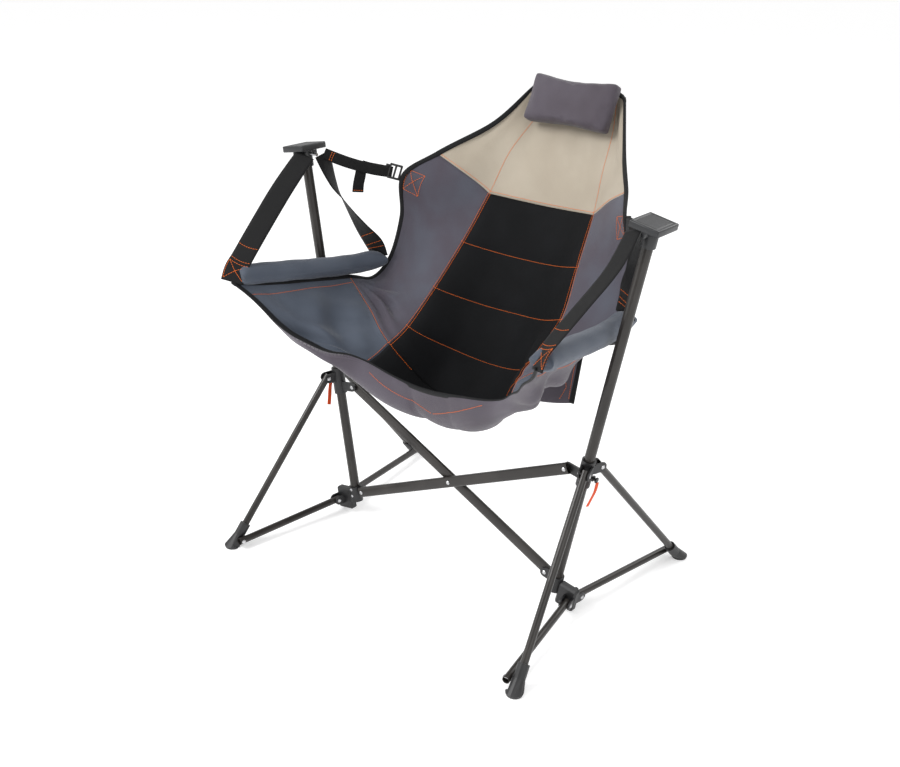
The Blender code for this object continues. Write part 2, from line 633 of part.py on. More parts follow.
def hanger_point() -> Vector:
    """Middle of the bar under the cap that the webbing loops over, which is on the swing's axis."""
    return cap_point(-(POST_RADIUS + SLEEVE_WALL + 0.012), 0, -0.009)


# Half of the hammock's cage, from the middle outward: x, y, z at each point. Rows run from the front edge to the
# seam across the seat, and on to the top of the back.
SEAT_CAGE = [
    [(0, -0.080, 0.432), (0.100, -0.085, 0.447), (0.195, -0.101, 0.486), (0.295, -0.178, 0.560), (0.385, -0.268, 0.652)],
    [(0, -0.058, 0.362), (0.100, -0.064, 0.388), (0.190, -0.082, 0.462), (0.288, -0.140, 0.540), (0.374, -0.192, 0.630)],
    [(0, -0.002, 0.322), (0.098, -0.012, 0.360), (0.182, -0.052, 0.466), (0.274, -0.072, 0.536), (0.360, -0.086, 0.611)],
    [(0, 0.062, 0.330), (0.094, 0.036, 0.372), (0.173, -0.018, 0.484), (0.262, 0.010, 0.542), (0.343, 0.030, 0.592)],
]
BACK_CAGE = [
    [(0, 0.066, 0.335), (0.094, 0.040, 0.377), (0.172, -0.012, 0.490), (0.260, 0.016, 0.546), (0.341, 0.038, 0.594)],
    [(0, 0.148, 0.428), (0.090, 0.120, 0.450), (0.168, 0.040, 0.515), (0.254, 0.080, 0.560), (0.334, 0.104, 0.585)],
    [(0, 0.212, 0.535), (0.088, 0.190, 0.546), (0.172, 0.137, 0.580), (0.250, 0.146, 0.602), (0.321, 0.152, 0.626)],
    [(0, 0.266, 0.645), (0.080, 0.252, 0.652), (0.155, 0.214, 0.673), (0.236, 0.192, 0.694), (0.308, 0.172, 0.716)],
    [(0, 0.318, 0.760), (0.070, 0.308, 0.764), (0.140, 0.287, 0.772), (0.216, 0.222, 0.792), (0.291, 0.158, 0.812)],
    [(0, 0.358, 0.852), (0.060, 0.352, 0.853), (0.126, 0.336, 0.855), (0.188, 0.284, 0.860), (0.246, 0.226, 0.858)],
    [(0, 0.408, 0.935), (0.054, 0.407, 0.935), (0.110, 0.398, 0.936), (0.156, 0.346, 0.940), (0.196, 0.288, 0.944)],
    [(0, 0.452, 1.016), (0.050, 0.451, 1.016), (0.104, 0.444, 1.017), (0.132, 0.404, 1.020), (0.152, 0.352, 1.022)],
]


def sheet_object(name: str, cage: list, finish: str) -> None:
    """A fabric panel grown smooth from its half cage, with the cloth's thickness."""
    bm = bmesh.new()
    rows = []
    for half in cage:
        points = [(-x, y, z) for x, y, z in reversed(half[1:])] + list(half)
        rows.append([bm.verts.new(point) for point in points])
    for front, back in zip(rows, rows[1:]):
        for i in range(len(front) - 1):
            bm.faces.new((front[i], front[i + 1], back[i + 1], back[i]))
    mesh = bpy.data.meshes.new(name)
    bm.to_mesh(mesh)
    bm.free()
    obj = new_object(name, mesh, finish)
    smooth = obj.modifiers.new("smooth", "SUBSURF")
    smooth.levels = smooth.render_levels = 1
    thick = obj.modifiers.new("thickness", "SOLIDIFY")
    thick.thickness = FABRIC_THICKNESS
    thick.offset = 0


def arm_pad(side: str, frame) -> None:
    """The padded tube along the hammock's edge."""
    route = [(0.387, -0.252, 0.668), (0.378, -0.200, 0.661), (0.367, -0.120, 0.651), (0.355, -0.030, 0.641)]
    route += [(0.342, 0.050, 0.636), (0.329, 0.122, 0.638)]
    scales = (0.62, 0.86, 1.0, 1.0, 0.95, 0.72)
    points = [Vector(p) for p in route]
    rings = []
    for i, (point, scale) in enumerate(zip(points, scales)):
        ahead = points[min(i + 1, len(points) - 1)] - points[max(i - 1, 0)]
        place = looking(point, ahead, Vector((0, 0, 1)))
        rings.append([place @ p for p in ring(ARM_RADIUS * scale, 0, 14)])
    new_object(f"arm_pad_{side}", rings_mesh("arm", rings), "blue_grey_fabric", frame)


def strap(side: str, end: str, frame) -> None:
    """A wide strap from the hanger bar to one end of the arm pad; the rear one turns half over on its way."""
    top = hanger_point() - Vector((0, 0, HANGER_RADIUS + STRAP_THICKNESS))
    if end == "front":
        route = [top + Vector((0, -0.009, 0)), Vector((0.424, -0.090, 0.802)), Vector((0.402, -0.185, 0.735))]
        route.append(Vector((0.389, -0.240, 0.694)))
        across = [Vector((-0.82, 0.42, -0.40))] * 4
    else:
        route = [top + Vector((-0.004, 0.009, 0)), Vector((0.392, 0.040, 0.790)), Vector((0.358, 0.086, 0.713))]
        route.append(Vector((0.334, 0.114, 0.665)))
        across = [Vector((1, 0.1, 0)), Vector((0.8, 0.6, 0.1)), Vector((0.4, 0.9, 0.3)), Vector((0.2, 1, 0.3))]
    widths = [STRAP_WIDTH * share for share in (0.44, 0.9, 1.0, 1.0)]
    mesh = ribbon_mesh("strap", route, across, widths, STRAP_THICKNESS)
    new_object(f"strap_{end}_{side}", mesh, "webbing", frame)


def recline_points() -> list:
    """Ends of the recline strap on the +X side: at the hanger bar, at the buckle, and at the back's edge."""
    start = hanger_point() + Vector((-0.008, 0.023, -0.003))
    edge = Vector((0.298, 0.158, 0.812))
    buckle = edge + (start - edge).normalized() * 0.034
    return [start, buckle, edge]


def recline(side: str, frame) -> None:
    """The narrow strap from the cap to the back's edge, and the ladder-lock buckle on it."""
    start, buckle, edge = recline_points()
    along = (edge - start).normalized()
    stop = buckle - along * 0.014
    sag = Vector((0, 0, -0.006))
    route = [start, start.lerp(stop, 0.5) + sag, stop]
    mesh = ribbon_mesh("recline", route, [Vector((0, 0, 1))] * 3, RECLINE_WIDTH, 0.0016)
    new_object(f"recline_strap_{side}", mesh, "webbing", frame)
    low, high = Vector((-0.0155, -0.0045, -0.0125)), Vector((0.0155, 0.0045, 0.0125))
    place = looking(buckle, along, Vector((0, 0, 1)))
    obj = new_object(f"recline_buckle_{side}", box_mesh("buckle", low, high, 0.001), "black_plastic", frame, place)
    for n, z in enumerate((-0.0062, 0.0062)):
        slot = box_mesh("slot", Vector((-0.0132, -0.01, z - 0.0022)), Vector((0.0132, 0.01, z + 0.0022)))
        combine(obj, helper(f"cut_buckle_{side}_{n}", slot, frame, place), "DIFFERENCE")


def hanger_bar(side: str, frame) -> None:
    """The short bar beside the post, under the cap, that carries the webbing's loops."""
    half = 0.010
    place = looking(hanger_point(), Vector((1, 0, 0)))
    profile = [(HANGER_RADIUS, -half), (HANGER_RADIUS, half)]
    new_object(f"hanger_bar_{side}", turned_mesh("hanger", profile, 12), "rivet_steel", frame, place)


def head_pillow() -> None:
    """The boxed pillow on the front of the back's top."""
    tilt = math.radians(25)
    low = Vector((-PILLOW_WIDTH / 2, -PILLOW_DEPTH / 2, -PILLOW_HEIGHT / 2))
    mesh = box_mesh("pillow", low, -low, 0.014)
    place = Matrix.Translation((0, 0.3898, 0.9784)) @ Matrix.Rotation(-tilt, 4, "X")
    new_object("head_pillow", mesh, "grey_fabric", None, place)


def rear_pouch() -> None:
    """The flat pouch that hangs behind the lower back."""
    tilt = math.radians(-12)
    low = Vector((-POUCH_WIDTH / 2, -POUCH_DEPTH / 2, -0.130))
    mesh = box_mesh("pouch", low, -low, 0.005)
    place = Matrix.Translation((0, 0.262, 0.500)) @ Matrix.Rotation(tilt, 4, "X")
    new_object("rear_pouch", mesh, "grey_fabric", None, place)


def hammock() -> None:
    """Every soft piece, and the metal and plastic that hangs with it."""
    sheet_object("seat_sling", SEAT_CAGE, "grey_fabric")
    sheet_object("back_sling", BACK_CAGE, "grey_fabric")
    head_pillow()
    rear_pouch()
    for side in SIDES:
        frame = hammock_frame(side)
        arm_pad(side, frame)
        strap(side, "front", frame)
        strap(side, "rear", frame)
        recline(side, frame)
        hanger_bar(side, frame)


def main() -> None:
    """Builds the chair, open, at rest."""
    clear_scene()
    for side in SIDES:
        build_side(side)
    cross_bars()
    hammock()
    for obj in bpy.context.scene.objects:
        if obj.parent is None:
            obj.location.y += POST_PLANE_Y


if __name__ == "__main__":
    main()
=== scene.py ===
"""Folding camp chair with a hammock seat that hangs between two leaning posts.

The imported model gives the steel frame. This script dresses that frame and builds the hammock: the panelled
sling with its quilted back, the padded arms, the head pillow, the rear pouch and the webbing that carries them.
World frame: +X towards the sitter's left, +Y towards the back, +Z up, in metres. Sizes are given with the posts
in the plane y = 0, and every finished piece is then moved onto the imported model's origin by CHAIR_PLACE.
"""

import json
import logging
import math
from dataclasses import dataclass, field
from enum import Enum

import bmesh
import bpy
import numpy as np
from mathutils import Matrix, Vector

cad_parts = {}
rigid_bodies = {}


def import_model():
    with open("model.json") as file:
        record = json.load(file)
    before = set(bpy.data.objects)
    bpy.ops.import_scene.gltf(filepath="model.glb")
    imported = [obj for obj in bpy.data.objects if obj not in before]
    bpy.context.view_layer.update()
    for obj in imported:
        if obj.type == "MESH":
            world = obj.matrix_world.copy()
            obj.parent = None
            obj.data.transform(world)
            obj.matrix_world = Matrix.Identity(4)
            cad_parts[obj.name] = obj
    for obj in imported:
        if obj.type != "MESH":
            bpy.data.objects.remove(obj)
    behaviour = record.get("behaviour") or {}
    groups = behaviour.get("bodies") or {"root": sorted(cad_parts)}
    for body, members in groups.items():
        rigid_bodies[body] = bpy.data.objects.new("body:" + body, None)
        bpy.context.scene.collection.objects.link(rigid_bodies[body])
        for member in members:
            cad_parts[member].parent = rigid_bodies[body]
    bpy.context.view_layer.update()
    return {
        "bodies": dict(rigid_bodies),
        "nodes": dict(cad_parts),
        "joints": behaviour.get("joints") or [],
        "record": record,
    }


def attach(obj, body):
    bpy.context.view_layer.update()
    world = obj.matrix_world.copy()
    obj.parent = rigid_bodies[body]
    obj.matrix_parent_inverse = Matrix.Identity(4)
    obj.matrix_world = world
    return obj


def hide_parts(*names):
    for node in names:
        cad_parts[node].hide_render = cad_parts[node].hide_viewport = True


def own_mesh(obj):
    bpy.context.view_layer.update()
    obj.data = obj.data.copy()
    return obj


LOG = logging.getLogger("camp_chair")

HAMMOCK = "hammock"
CHAIR_PLACE = Matrix.Translation((0.0, -0.06845, 0.0))

POST_FOOT = Vector((0.2906, 0.0, 0.0499))
POST_LEAN = math.radians(10.286)
POST_LENGTH = 0.830
HANGER_POINT = Vector((0.4108, 0.0, 0.8624))
TILT_SLOPE = 0.030
LEVEL_ABOVE = 0.86
LEVEL_FADE = 0.16
STITCH_LIFT = 0.0002


class Side(Enum):
    """The two sides of the chair, with the sign of their X."""

    LEFT = -1
    RIGHT = 1

    @property
    def label(self) -> str:
        """Name used in pieces and bodies."""
        return self.name.lower()

    def at(self, point: Vector) -> Vector:
        """A point given for the +X side, on this side."""
        return Vector((self.value * point.x, point.y, point.z))


# ------------------------------------------------------------------ finishes
@dataclass(frozen=True)
class Tone:
    """A colour in linear light."""

    red: float
    green: float
    blue: float

    def rgba(self) -> tuple[float, float, float, float]:
        """The colour with full alpha."""
        return (self.red, self.green, self.blue, 1.0)

    def times(self, factor: float) -> "Tone":
        """The colour made lighter or darker."""
        return Tone(self.red * factor, self.green * factor, self.blue * factor)


class Wiring:
    """A Principled material while its nodes are being joined up."""

    def __init__(self, name: str, roughness: float, metallic: float = 0.0, shine: float = 0.5) -> None:
        """Starts a material.

        Args:
            name: the finish's name.
            roughness: of the whole surface.
            metallic: of the whole surface.
            shine: the strength of its highlights.
        """
        self.shine = shine
        self.material = bpy.data.materials.new(name)
        self.material.use_nodes = True
        self.tree = self.material.node_tree
        self.shader = self.tree.nodes["Principled BSDF"]
        self.shader.inputs["Roughness"].default_value = roughness
        self.shader.inputs["Metallic"].default_value = metallic

    def add(self, kind: str, settings: dict | None = None, **sockets: object) -> bpy.types.Node:
        """Adds a node.

        Args:
            kind: the node's Blender type.
            settings: its properties.
            sockets: its inputs by name, with underscores for spaces, each a value or another node's output.

        Returns:
            The node.
        """
        node = self.tree.nodes.new(kind)
        for key, value in (settings or {}).items():
            setattr(node, key, value)
        for key, value in sockets.items():
            self.feed(node.inputs[key.replace("_", " ")], value)
        return node

    def feed(self, socket: bpy.types.NodeSocket, value: object) -> None:
        """Joins an output to a socket, or sets the socket.

        Args:
            socket: the input.
            value: another node's output, a Tone or a number.
        """
        if isinstance(value, bpy.types.NodeSocket):
            self.tree.links.new(value, socket)
        elif isinstance(value, Tone):
            socket.default_value = value.rgba()
        else:
            socket.default_value = value

    def place(self, by_uv: bool) -> bpy.types.NodeSocket:
        """The piece's own coordinates, in metres."""
        return self.add("ShaderNodeTexCoord").outputs["UV" if by_uv else "Object"]

    def math(self, operation: str, first: object, second: object = 0.0) -> bpy.types.NodeSocket:
        """A Math node's output.

        Args:
            operation: what it does.
            first: its first input.
            second: its second input.

        Returns:
            The output.
        """
        node = self.add("ShaderNodeMath", {"operation": operation})
        self.feed(node.inputs[0], first)
        self.feed(node.inputs[1], second)
        return node.outputs[0]

    def noise(self, place: bpy.types.NodeSocket, scale: float, detail: float = 3.0) -> bpy.types.NodeSocket:
        """A noise pattern's strength."""
        return self.add("ShaderNodeTexNoise", Vector=place, Scale=scale, Detail=detail).outputs["Fac"]

    def bands(
        self, place: bpy.types.NodeSocket, pitch: float, direction: str, wobble: float = 0.0
    ) -> bpy.types.NodeSocket:
        """Parallel bands.

        Args:
            place: the coordinates that they follow.
            pitch: the distance between two, in metres.
            direction: the axis that they cross.
            wobble: how far they wander.

        Returns:
            Their strength.
        """
        settings = {"wave_type": "BANDS", "bands_direction": direction, "wave_profile": "SIN"}
        node = self.add("ShaderNodeTexWave", settings, Vector=place, Scale=math.pi / (10 * pitch), Distortion=wobble)
        return node.outputs["Fac"]

    def ramp(self, share: bpy.types.NodeSocket, low: float, high: float) -> bpy.types.NodeSocket:
        """Stretches a share smoothly.

        Args:
            share: the share.
            low: the value that gives 0.
            high: the value that gives 1.

        Returns:
            The stretched share.
        """
        settings = {"clamp": True, "interpolation_type": "SMOOTHSTEP"}
        node = self.add("ShaderNodeMapRange", settings, Value=share)
        node.inputs["From Min"].default_value = low
        node.inputs["From Max"].default_value = high
        return node.outputs["Result"]

    def mix(self, share: object, first: object, second: object) -> bpy.types.NodeSocket:
        """Mixes two colours.

        Args:
            share: of the second one.
            first: a Tone or an output.
            second: a Tone or an output.

        Returns:
            The mixed colour.
        """
        node = self.add("ShaderNodeMix", {"data_type": "RGBA"})
        self.feed(node.inputs[0], share)
        self.feed(node.inputs[6], first)
        self.feed(node.inputs[7], second)
        return node.outputs[2]

    def bump(
        self,
        height: bpy.types.NodeSocket,
        distance: float,
        strength: float = 1.0,
        under: bpy.types.NodeSocket | None = None,
    ) -> bpy.types.NodeSocket:
        """Raises a relief.

        Args:
            height: its pattern.
            distance: its depth, in metres.
            strength: of the effect.
            under: another relief's normal, to lie over.

        Returns:
            The normal.
        """
        node = self.add("ShaderNodeBump", Height=height, Distance=distance, Strength=strength)
        if under is not None:
            self.tree.links.new(under, node.inputs["Normal"])
        return node.outputs["Normal"]

    def finish(
        self, colour: object, normal: bpy.types.NodeSocket | None = None, **sockets: object
    ) -> bpy.types.Material:
        """Feeds the shader.

        Args:
            colour: its base colour.
            normal: its normal.
            sockets: any other input, set as it stands.

        Returns:
            The finished material.
        """
        self.shader.inputs["Specular IOR Level"].default_value = self.shine
        self.feed(self.shader.inputs["Base Color"], colour)
        if normal is not None:
            self.feed(self.shader.inputs["Normal"], normal)
        for key, value in sockets.items():
            self.feed(self.shader.inputs[key.replace("_", " ")], value)
        return self.material


@dataclass(frozen=True)
class PowderCoat:
    """Satin powder coat on steel tube, with a faint orange peel and lighter, rougher patches of dust."""

    name: str = "frame_powder_coat"
    body: Tone = Tone(0.0160, 0.0136, 0.0120)
    worn: Tone = Tone(0.0330, 0.0290, 0.0262)

    def make(self) -> bpy.types.Material:
        """Builds the material.

        Returns:
            The material.
        """
        w = Wiring(self.name, 0.36, 0.1, 0.35)
        place = w.place(False)
        cloud = w.ramp(w.noise(place, 9.0, 5.0), 0.35, 0.75)
        peel = w.noise(place, 900.0, 2.0)
        gloss = w.math("ADD", w.math("MULTIPLY", cloud, 0.10), 0.33)
        w.feed(w.shader.inputs["Roughness"], gloss)
        return w.finish(w.mix(cloud, self.body, self.worn), w.bump(peel, 0.00006, 0.6), Coat_Weight=0.15)


@dataclass(frozen=True)
class MouldedPlastic:
    """Moulded nylon with a spark-eroded grain."""

    name: str
    body: Tone
    rough: float = 0.5

    def make(self) -> bpy.types.Material:
        """Builds the material.

        Returns:
            The material.
        """
        w = Wiring(self.name, self.rough)
        place = w.place(False)
        grain = w.noise(place, 1400.0, 3.0)
        cloud = w.ramp(w.noise(place, 30.0, 3.0), 0.3, 0.8)
        return w.finish(w.mix(cloud, self.body, self.body.times(1.7)), w.bump(grain, 0.00012, 0.7))


@dataclass(frozen=True)
class BrightSteel:
    """Zinc-bright steel of the rivets, faintly brushed."""

    name: str = "rivet_zinc"
    body: Tone = Tone(0.50, 0.50, 0.51)

    def make(self) -> bpy.types.Material:
        """Builds the material.

        Returns:
            The material.
        """
        w = Wiring(self.name, 0.3, 1.0)
        place = w.place(False)
        scratch = w.noise(place, 600.0, 2.0)
        w.feed(w.shader.inputs["Roughness"], w.math("ADD", w.math("MULTIPLY", scratch, 0.2), 0.2))
        return w.finish(self.body, w.bump(scratch, 0.00003, 0.5))


@dataclass(frozen=True)
class WovenCloth:
    """Plain-woven polyester: crossing threads, a soft sheen and slow changes of tone."""

    name: str
    body: Tone
    drift: Tone
    pitch: float = 0.0009
    sheen: float = 0.25
    rough: float = 0.72
    shine: float = 0.25
    relief: float = 0.00022
    by_uv: bool = True
    wave_scale: float = 7.0

    def make(self) -> bpy.types.Material:
        """Builds the material.

        Returns:
            The material.
        """
        w = Wiring(self.name, self.rough, 0.0, self.shine)
        place = w.place(self.by_uv)
        warp = w.bands(place, self.pitch, "X", 0.3)
        weft = w.bands(place, self.pitch, "Y", 0.3)
        cloth = w.math("MAXIMUM", warp, weft)
        slub = w.noise(place, 380.0, 2.0)
        slow = w.ramp(w.noise(place, self.wave_scale, 3.0), 0.36, 0.66)
        tone = w.mix(slow, self.body, self.drift)
        # painted shade: where the weave is low, in the gaps between the threads, the colour is darkened towards 0.62 of
        # the cloth's own
        painted_gap_shade = w.math("MULTIPLY", w.math("SUBTRACT", 1.0, w.ramp(cloth, 0.2, 0.9)), 0.55)
        tone = w.mix(painted_gap_shade, tone, self.body.times(0.62))
        height = w.math("ADD", cloth, w.math("MULTIPLY", slub, 0.6))
        creases = w.bump(w.noise(place, 26.0, 4.0), 0.004, 0.10)
        return w.finish(tone, w.bump(height, self.relief, 0.8, creases), Sheen_Weight=self.sheen, Sheen_Roughness=0.4)


@dataclass(frozen=True)
class RibbedWebbing:
    """Woven strap: ribs across its width, broken by a fine diagonal."""

    name: str
    body: Tone
    drift: Tone
    rib: float = 0.0021

    def make(self) -> bpy.types.Material:
        """Builds the material.

        Returns:
            The material.
        """
        w = Wiring(self.name, 0.62, 0.0, 0.18)
        place = w.place(True)
        ribs = w.bands(place, self.rib, "Y", 0.15)
        cords = w.bands(place, self.rib * 1.3, "X", 0.1)
        twill = w.bands(place, self.rib * 0.8, "DIAGONAL")
        height = w.math("ADD", w.math("ADD", ribs, w.math("MULTIPLY", cords, 0.5)), w.math("MULTIPLY", twill, 0.3))
        fuzz = w.noise(place, 500.0, 2.0)
        # painted highlight and shade: the ribs' raised tops take the lighter second tone and the grooves the darker
        # one, broken by random fuzz
        tone = w.mix(w.ramp(w.math("ADD", ribs, w.math("MULTIPLY", fuzz, 0.5)), 0.2, 1.2), self.body, self.drift)
        return w.finish(tone, w.bump(height, 0.00035, 0.8), Sheen_Weight=0.04, Sheen_Roughness=0.4)


class Finishes:
    """Every finish of the chair, made once."""

    def __init__(self) -> None:
        """Builds all materials."""
        black = Tone(0.0065, 0.0068, 0.0075)
        self.steel = PowderCoat().make()
        self.plastic = MouldedPlastic("moulded_black_nylon", Tone(0.0085, 0.0085, 0.0092), 0.46).make()
        self.cap = MouldedPlastic("cap_black_nylon", Tone(0.0105, 0.0110, 0.0125), 0.40).make()
        self.rivet = BrightSteel().make()
        self.grey_purple = self.cloth("grey_purple_polyester", (0.072, 0.061, 0.077), (0.098, 0.086, 0.108))
        # side panel: grey-purple cloth whose second, blue-grey tone is painted sheen, the shot fabric's change of
        # colour with the angle of the light, laid in random patches
        self.side = self.cloth("side_polyester", (0.080, 0.070, 0.090), (0.094, 0.100, 0.128))
        self.wing = self.cloth("wing_polyester", (0.070, 0.084, 0.112), (0.096, 0.114, 0.148))
        self.pillow = self.cloth("pillow_polyester", (0.072, 0.060, 0.074), (0.090, 0.078, 0.096), by_uv=False)
        self.beige = self.cloth("beige_polyester", (0.420, 0.365, 0.290), (0.470, 0.415, 0.335), sheen=0.1)
        grey = Tone(0.0090, 0.0094, 0.0106)
        self.quilt = WovenCloth("black_quilted_polyester", black, grey, 0.0012, 0.02, shine=0.10).make()
        self.seat = WovenCloth("black_seat_polyester", black, grey, sheen=0.03, shine=0.12).make()
        self.binding = RibbedWebbing("black_binding_tape", black, Tone(0.0120, 0.0125, 0.0135), 0.0016).make()
        self.webbing = RibbedWebbing("black_webbing", Tone(0.0046, 0.0046, 0.0049), Tone(0.0088, 0.0089, 0.0094)).make()
        orange = Tone(0.62, 0.070, 0.014)
        self.pull = RibbedWebbing("orange_pull_webbing", orange, Tone(0.80, 0.120, 0.026), 0.0012).make()
        self.thread = self.thread_finish()

    @staticmethod
    def cloth(name: str, body: tuple, drift: tuple, **settings: object) -> bpy.types.Material:
        """A woven cloth of these two tones."""
        return WovenCloth(name, Tone(*body), Tone(*drift), **settings).make()

    @staticmethod
    def thread_finish() -> bpy.types.Material:
        """Bonded orange sewing thread, twisted.

        Returns:
            The material.
        """
        w = Wiring("orange_thread", 0.6, 0.0, 0.2)
        twist = w.bands(w.place(False), 0.0007, "DIAGONAL")
        # painted highlight: the ridges of the twist are painted the lighter orange, its hollows the darker one
        tone = w.mix(twist, Tone(0.80, 0.130, 0.014), Tone(0.98, 0.240, 0.040))
        return w.finish(tone, w.bump(twist, 0.0001, 0.5))


# ------------------------------------------------------------------ shared mesh helpers
def put_in_scene(name: str, mesh: bpy.types.Mesh, material: bpy.types.Material) -> bpy.types.Object:
    """Adds a mesh as a smooth piece.

    Args:
        name: the piece's name.
        mesh: its mesh, in world coordinates.
        material: its finish.

    Returns:
        The piece.
    """
    piece = bpy.data.objects.new(name, mesh)
    bpy.context.scene.collection.objects.link(piece)
    mesh.transform(CHAIR_PLACE)
    mesh.materials.append(material)
    mesh.shade_smooth()
    return piece


def ride_on(piece: bpy.types.Object, body: str, slot: str, *nodes: str) -> None:
    """Lets a finished piece ride on a body, and reports it.

    Args:
        piece: the piece.
        body: the body.
        slot: not used.
        nodes: the CAD nodes that it stands for.
    """
    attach(piece, body)
    if nodes:
        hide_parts(*nodes)
    LOG.info("%s: %d faces, on %s", piece.name, len(piece.data.polygons), body)


def hang(piece: bpy.types.Object, slot: str, *nodes: str) -> None:
    """Lets a soft piece ride with the hammock, on a mesh of its own.

    Args:
        piece: the piece.
        slot: not used.
        nodes: the CAD nodes that it stands for.
    """
    ride_on(piece, HAMMOCK, slot, *nodes)
    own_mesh(piece)


def deselect_all() -> None:
    """Leaves nothing selected."""
    bpy.ops.object.select_all(action="DESELECT")


def begin_primitive(kind: str, **sizes: object) -> bpy.types.Object:
    """Adds a primitive by operator, alone in the selection, with its place and size in its mesh.

    Args:
        kind: the operator's name after primitive_ and before _add.
        sizes: its arguments.

    Returns:
        The new object.
    """
    deselect_all()
    getattr(bpy.ops.mesh, f"primitive_{kind}_add")(**sizes)
    made = bpy.context.active_object
    bpy.ops.object.transform_apply(location=True, rotation=True, scale=True)
    return made


def edit_faces(piece: bpy.types.Object, facing: Vector) -> None:
    """Goes into edit mode on the piece, with only the faces that look this way selected.

    Args:
        piece: the piece.
        facing: the way, one long.
    """
    bpy.context.view_layer.objects.active = piece
    bpy.ops.object.mode_set(mode="EDIT")
    bpy.ops.mesh.select_mode(type="FACE")
    bpy.ops.mesh.select_all(action="DESELECT")
    bm = bmesh.from_edit_mesh(piece.data)
    for face in bm.faces:
        face.select_set(face.normal.dot(facing) > 0.9)
    bmesh.update_edit_mesh(piece.data)


def leave_edit() -> None:
    """Back to object mode."""
    bpy.ops.object.mode_set(mode="OBJECT")


def apply_bevel(piece: bpy.types.Object, width: float, segments: int, angle: float = 30.0) -> None:
    """Rounds the piece's sharp edges and applies the result.

    Args:
        piece: the piece.
        width: of the rounding.
        segments: across it.
        angle: the least angle of an edge that is rounded, in degrees.
    """
    bevel = piece.modifiers.new("round", "BEVEL")
    bevel.width = width
    bevel.segments = segments
    bevel.limit_method = "ANGLE"
    bevel.angle_limit = math.radians(angle)
    bpy.context.view_layer.objects.active = piece
    bpy.ops.object.modifier_apply(modifier=bevel.name)


def rounded_box(middle: tuple, size: tuple, width: float, segments: int) -> bpy.types.Object:
    """A box with rounded edges, to be joined into a moulding.

    Args:
        middle: its middle.
        size: its three sizes.
        width: of the rounding.
        segments: across it.

    Returns:
        The box.
    """
    box = begin_primitive("cube", size=1, location=middle, scale=size)
    apply_bevel(box, width, segments)
    return box


def settle(piece: bpy.types.Object, place: Matrix, material: bpy.types.Material) -> None:
    """Moves a finished primitive's mesh to its place, leaving the object at the origin.

    Args:
        piece: the primitive.
        place: where its own frame lies in the world.
        material: its finish.
    """
    piece.data.transform(CHAIR_PLACE @ place @ piece.matrix_world)
    piece.matrix_world = Matrix.Identity(4)
    if place.determinant() < 0:
        piece.data.flip_normals()
    piece.data.materials.clear()
    piece.data.materials.append(material)
    deselect_all()
    piece.select_set(True)
    bpy.context.view_layer.objects.active = piece
    bpy.ops.object.shade_smooth_by_angle(angle=math.radians(32))
    deselect_all()


def joined(pieces: list[bpy.types.Object], name: str) -> bpy.types.Object:
    """Joins pieces into one.

    Args:
        pieces: the pieces.
        name: the joined piece's name.

    Returns:
        The joined piece.
    """
    deselect_all()
    for piece in pieces:
        piece.select_set(True)
    bpy.context.view_layer.objects.active = pieces[0]
    if len(pieces) > 1:
        bpy.ops.object.join()
    pieces[0].name = name
    pieces[0].data.name = name
    deselect_all()
    return pieces[0]


def frame_along(origin: Vector, direction: Vector, hint: Vector) -> Matrix:
    """A frame with Z along a direction.

    Args:
        origin: where it stands.
        direction: of its Z.
        hint: a way that its X comes nearest to.

    Returns:
        The frame.
    """
    z = direction.normalized()
    x = (hint - hint.project(z)).normalized()
    frame = Matrix((x, z.cross(x), z)).transposed().to_4x4()
    frame.translation = origin
    return frame


def post_place(side: Side) -> Matrix:
    """A side's post frame: X outward, Y back, Z up the post, mirrored for the side on -X.

    Args:
        side: which.

    Returns:
        The frame.
    """
    outward = Vector((math.cos(POST_LEAN), 0, -math.sin(POST_LEAN)))
    upward = Vector((math.sin(POST_LEAN), 0, math.cos(POST_LEAN)))
    frame = Matrix((outward, (0, 1, 0), upward)).transposed().to_4x4()
    frame.translation = POST_FOOT
    return Matrix.Scale(side.value, 4, Vector((1, 0, 0))) @ frame


def smooth_route(points: list, steps: int) -> list[Vector]:
    """A smooth curve through points.

    Args:
        points: the points.
        steps: how many steps there are between two.

    Returns:
        The curve's points.
    """
    points = [Vector(p) for p in points]
    last = len(points) - 1
    route = []
    for n in range(last):
        before, after = points[max(n - 1, 0)], points[min(n + 2, last)]
        pull_in, pull_out = (points[n + 1] - before) / 2, (after - points[n]) / 2
        for i in range(steps):
            t = i / steps
            route.append(
                points[n] * (2 * t**3 - 3 * t**2 + 1)
                + pull_in * (t**3 - 2 * t**2 + t)
                + points[n + 1] * (3 * t**2 - 2 * t**3)
                + pull_out * (t**3 - t**2)
            )
    return route + [points[-1]]


def lay_uv(mesh: bpy.types.Mesh, uv: np.ndarray) -> None:
    """Lays coordinates along the cloth on a mesh.

    Args:
        mesh: the mesh.
        uv: two coordinates for each of its points, in metres.
    """
    loops = np.empty(len(mesh.loops), np.int32)
    mesh.loops.foreach_get("vertex_index", loops)
    mesh.uv_layers.new(name="cloth").data.foreach_set("uv", uv[loops].astype(np.float32).ravel())


def face_outwards(mesh: bpy.types.Mesh) -> bpy.types.Mesh:
    """Turns a closed mesh's faces outwards.

    Args:
        mesh: the mesh.

    Returns:
        The same mesh.
    """
    bm = bmesh.new()
    bm.from_mesh(mesh)
    bmesh.ops.recalc_face_normals(bm, faces=bm.faces)
    bm.to_mesh(mesh)
    bm.free()
    return mesh


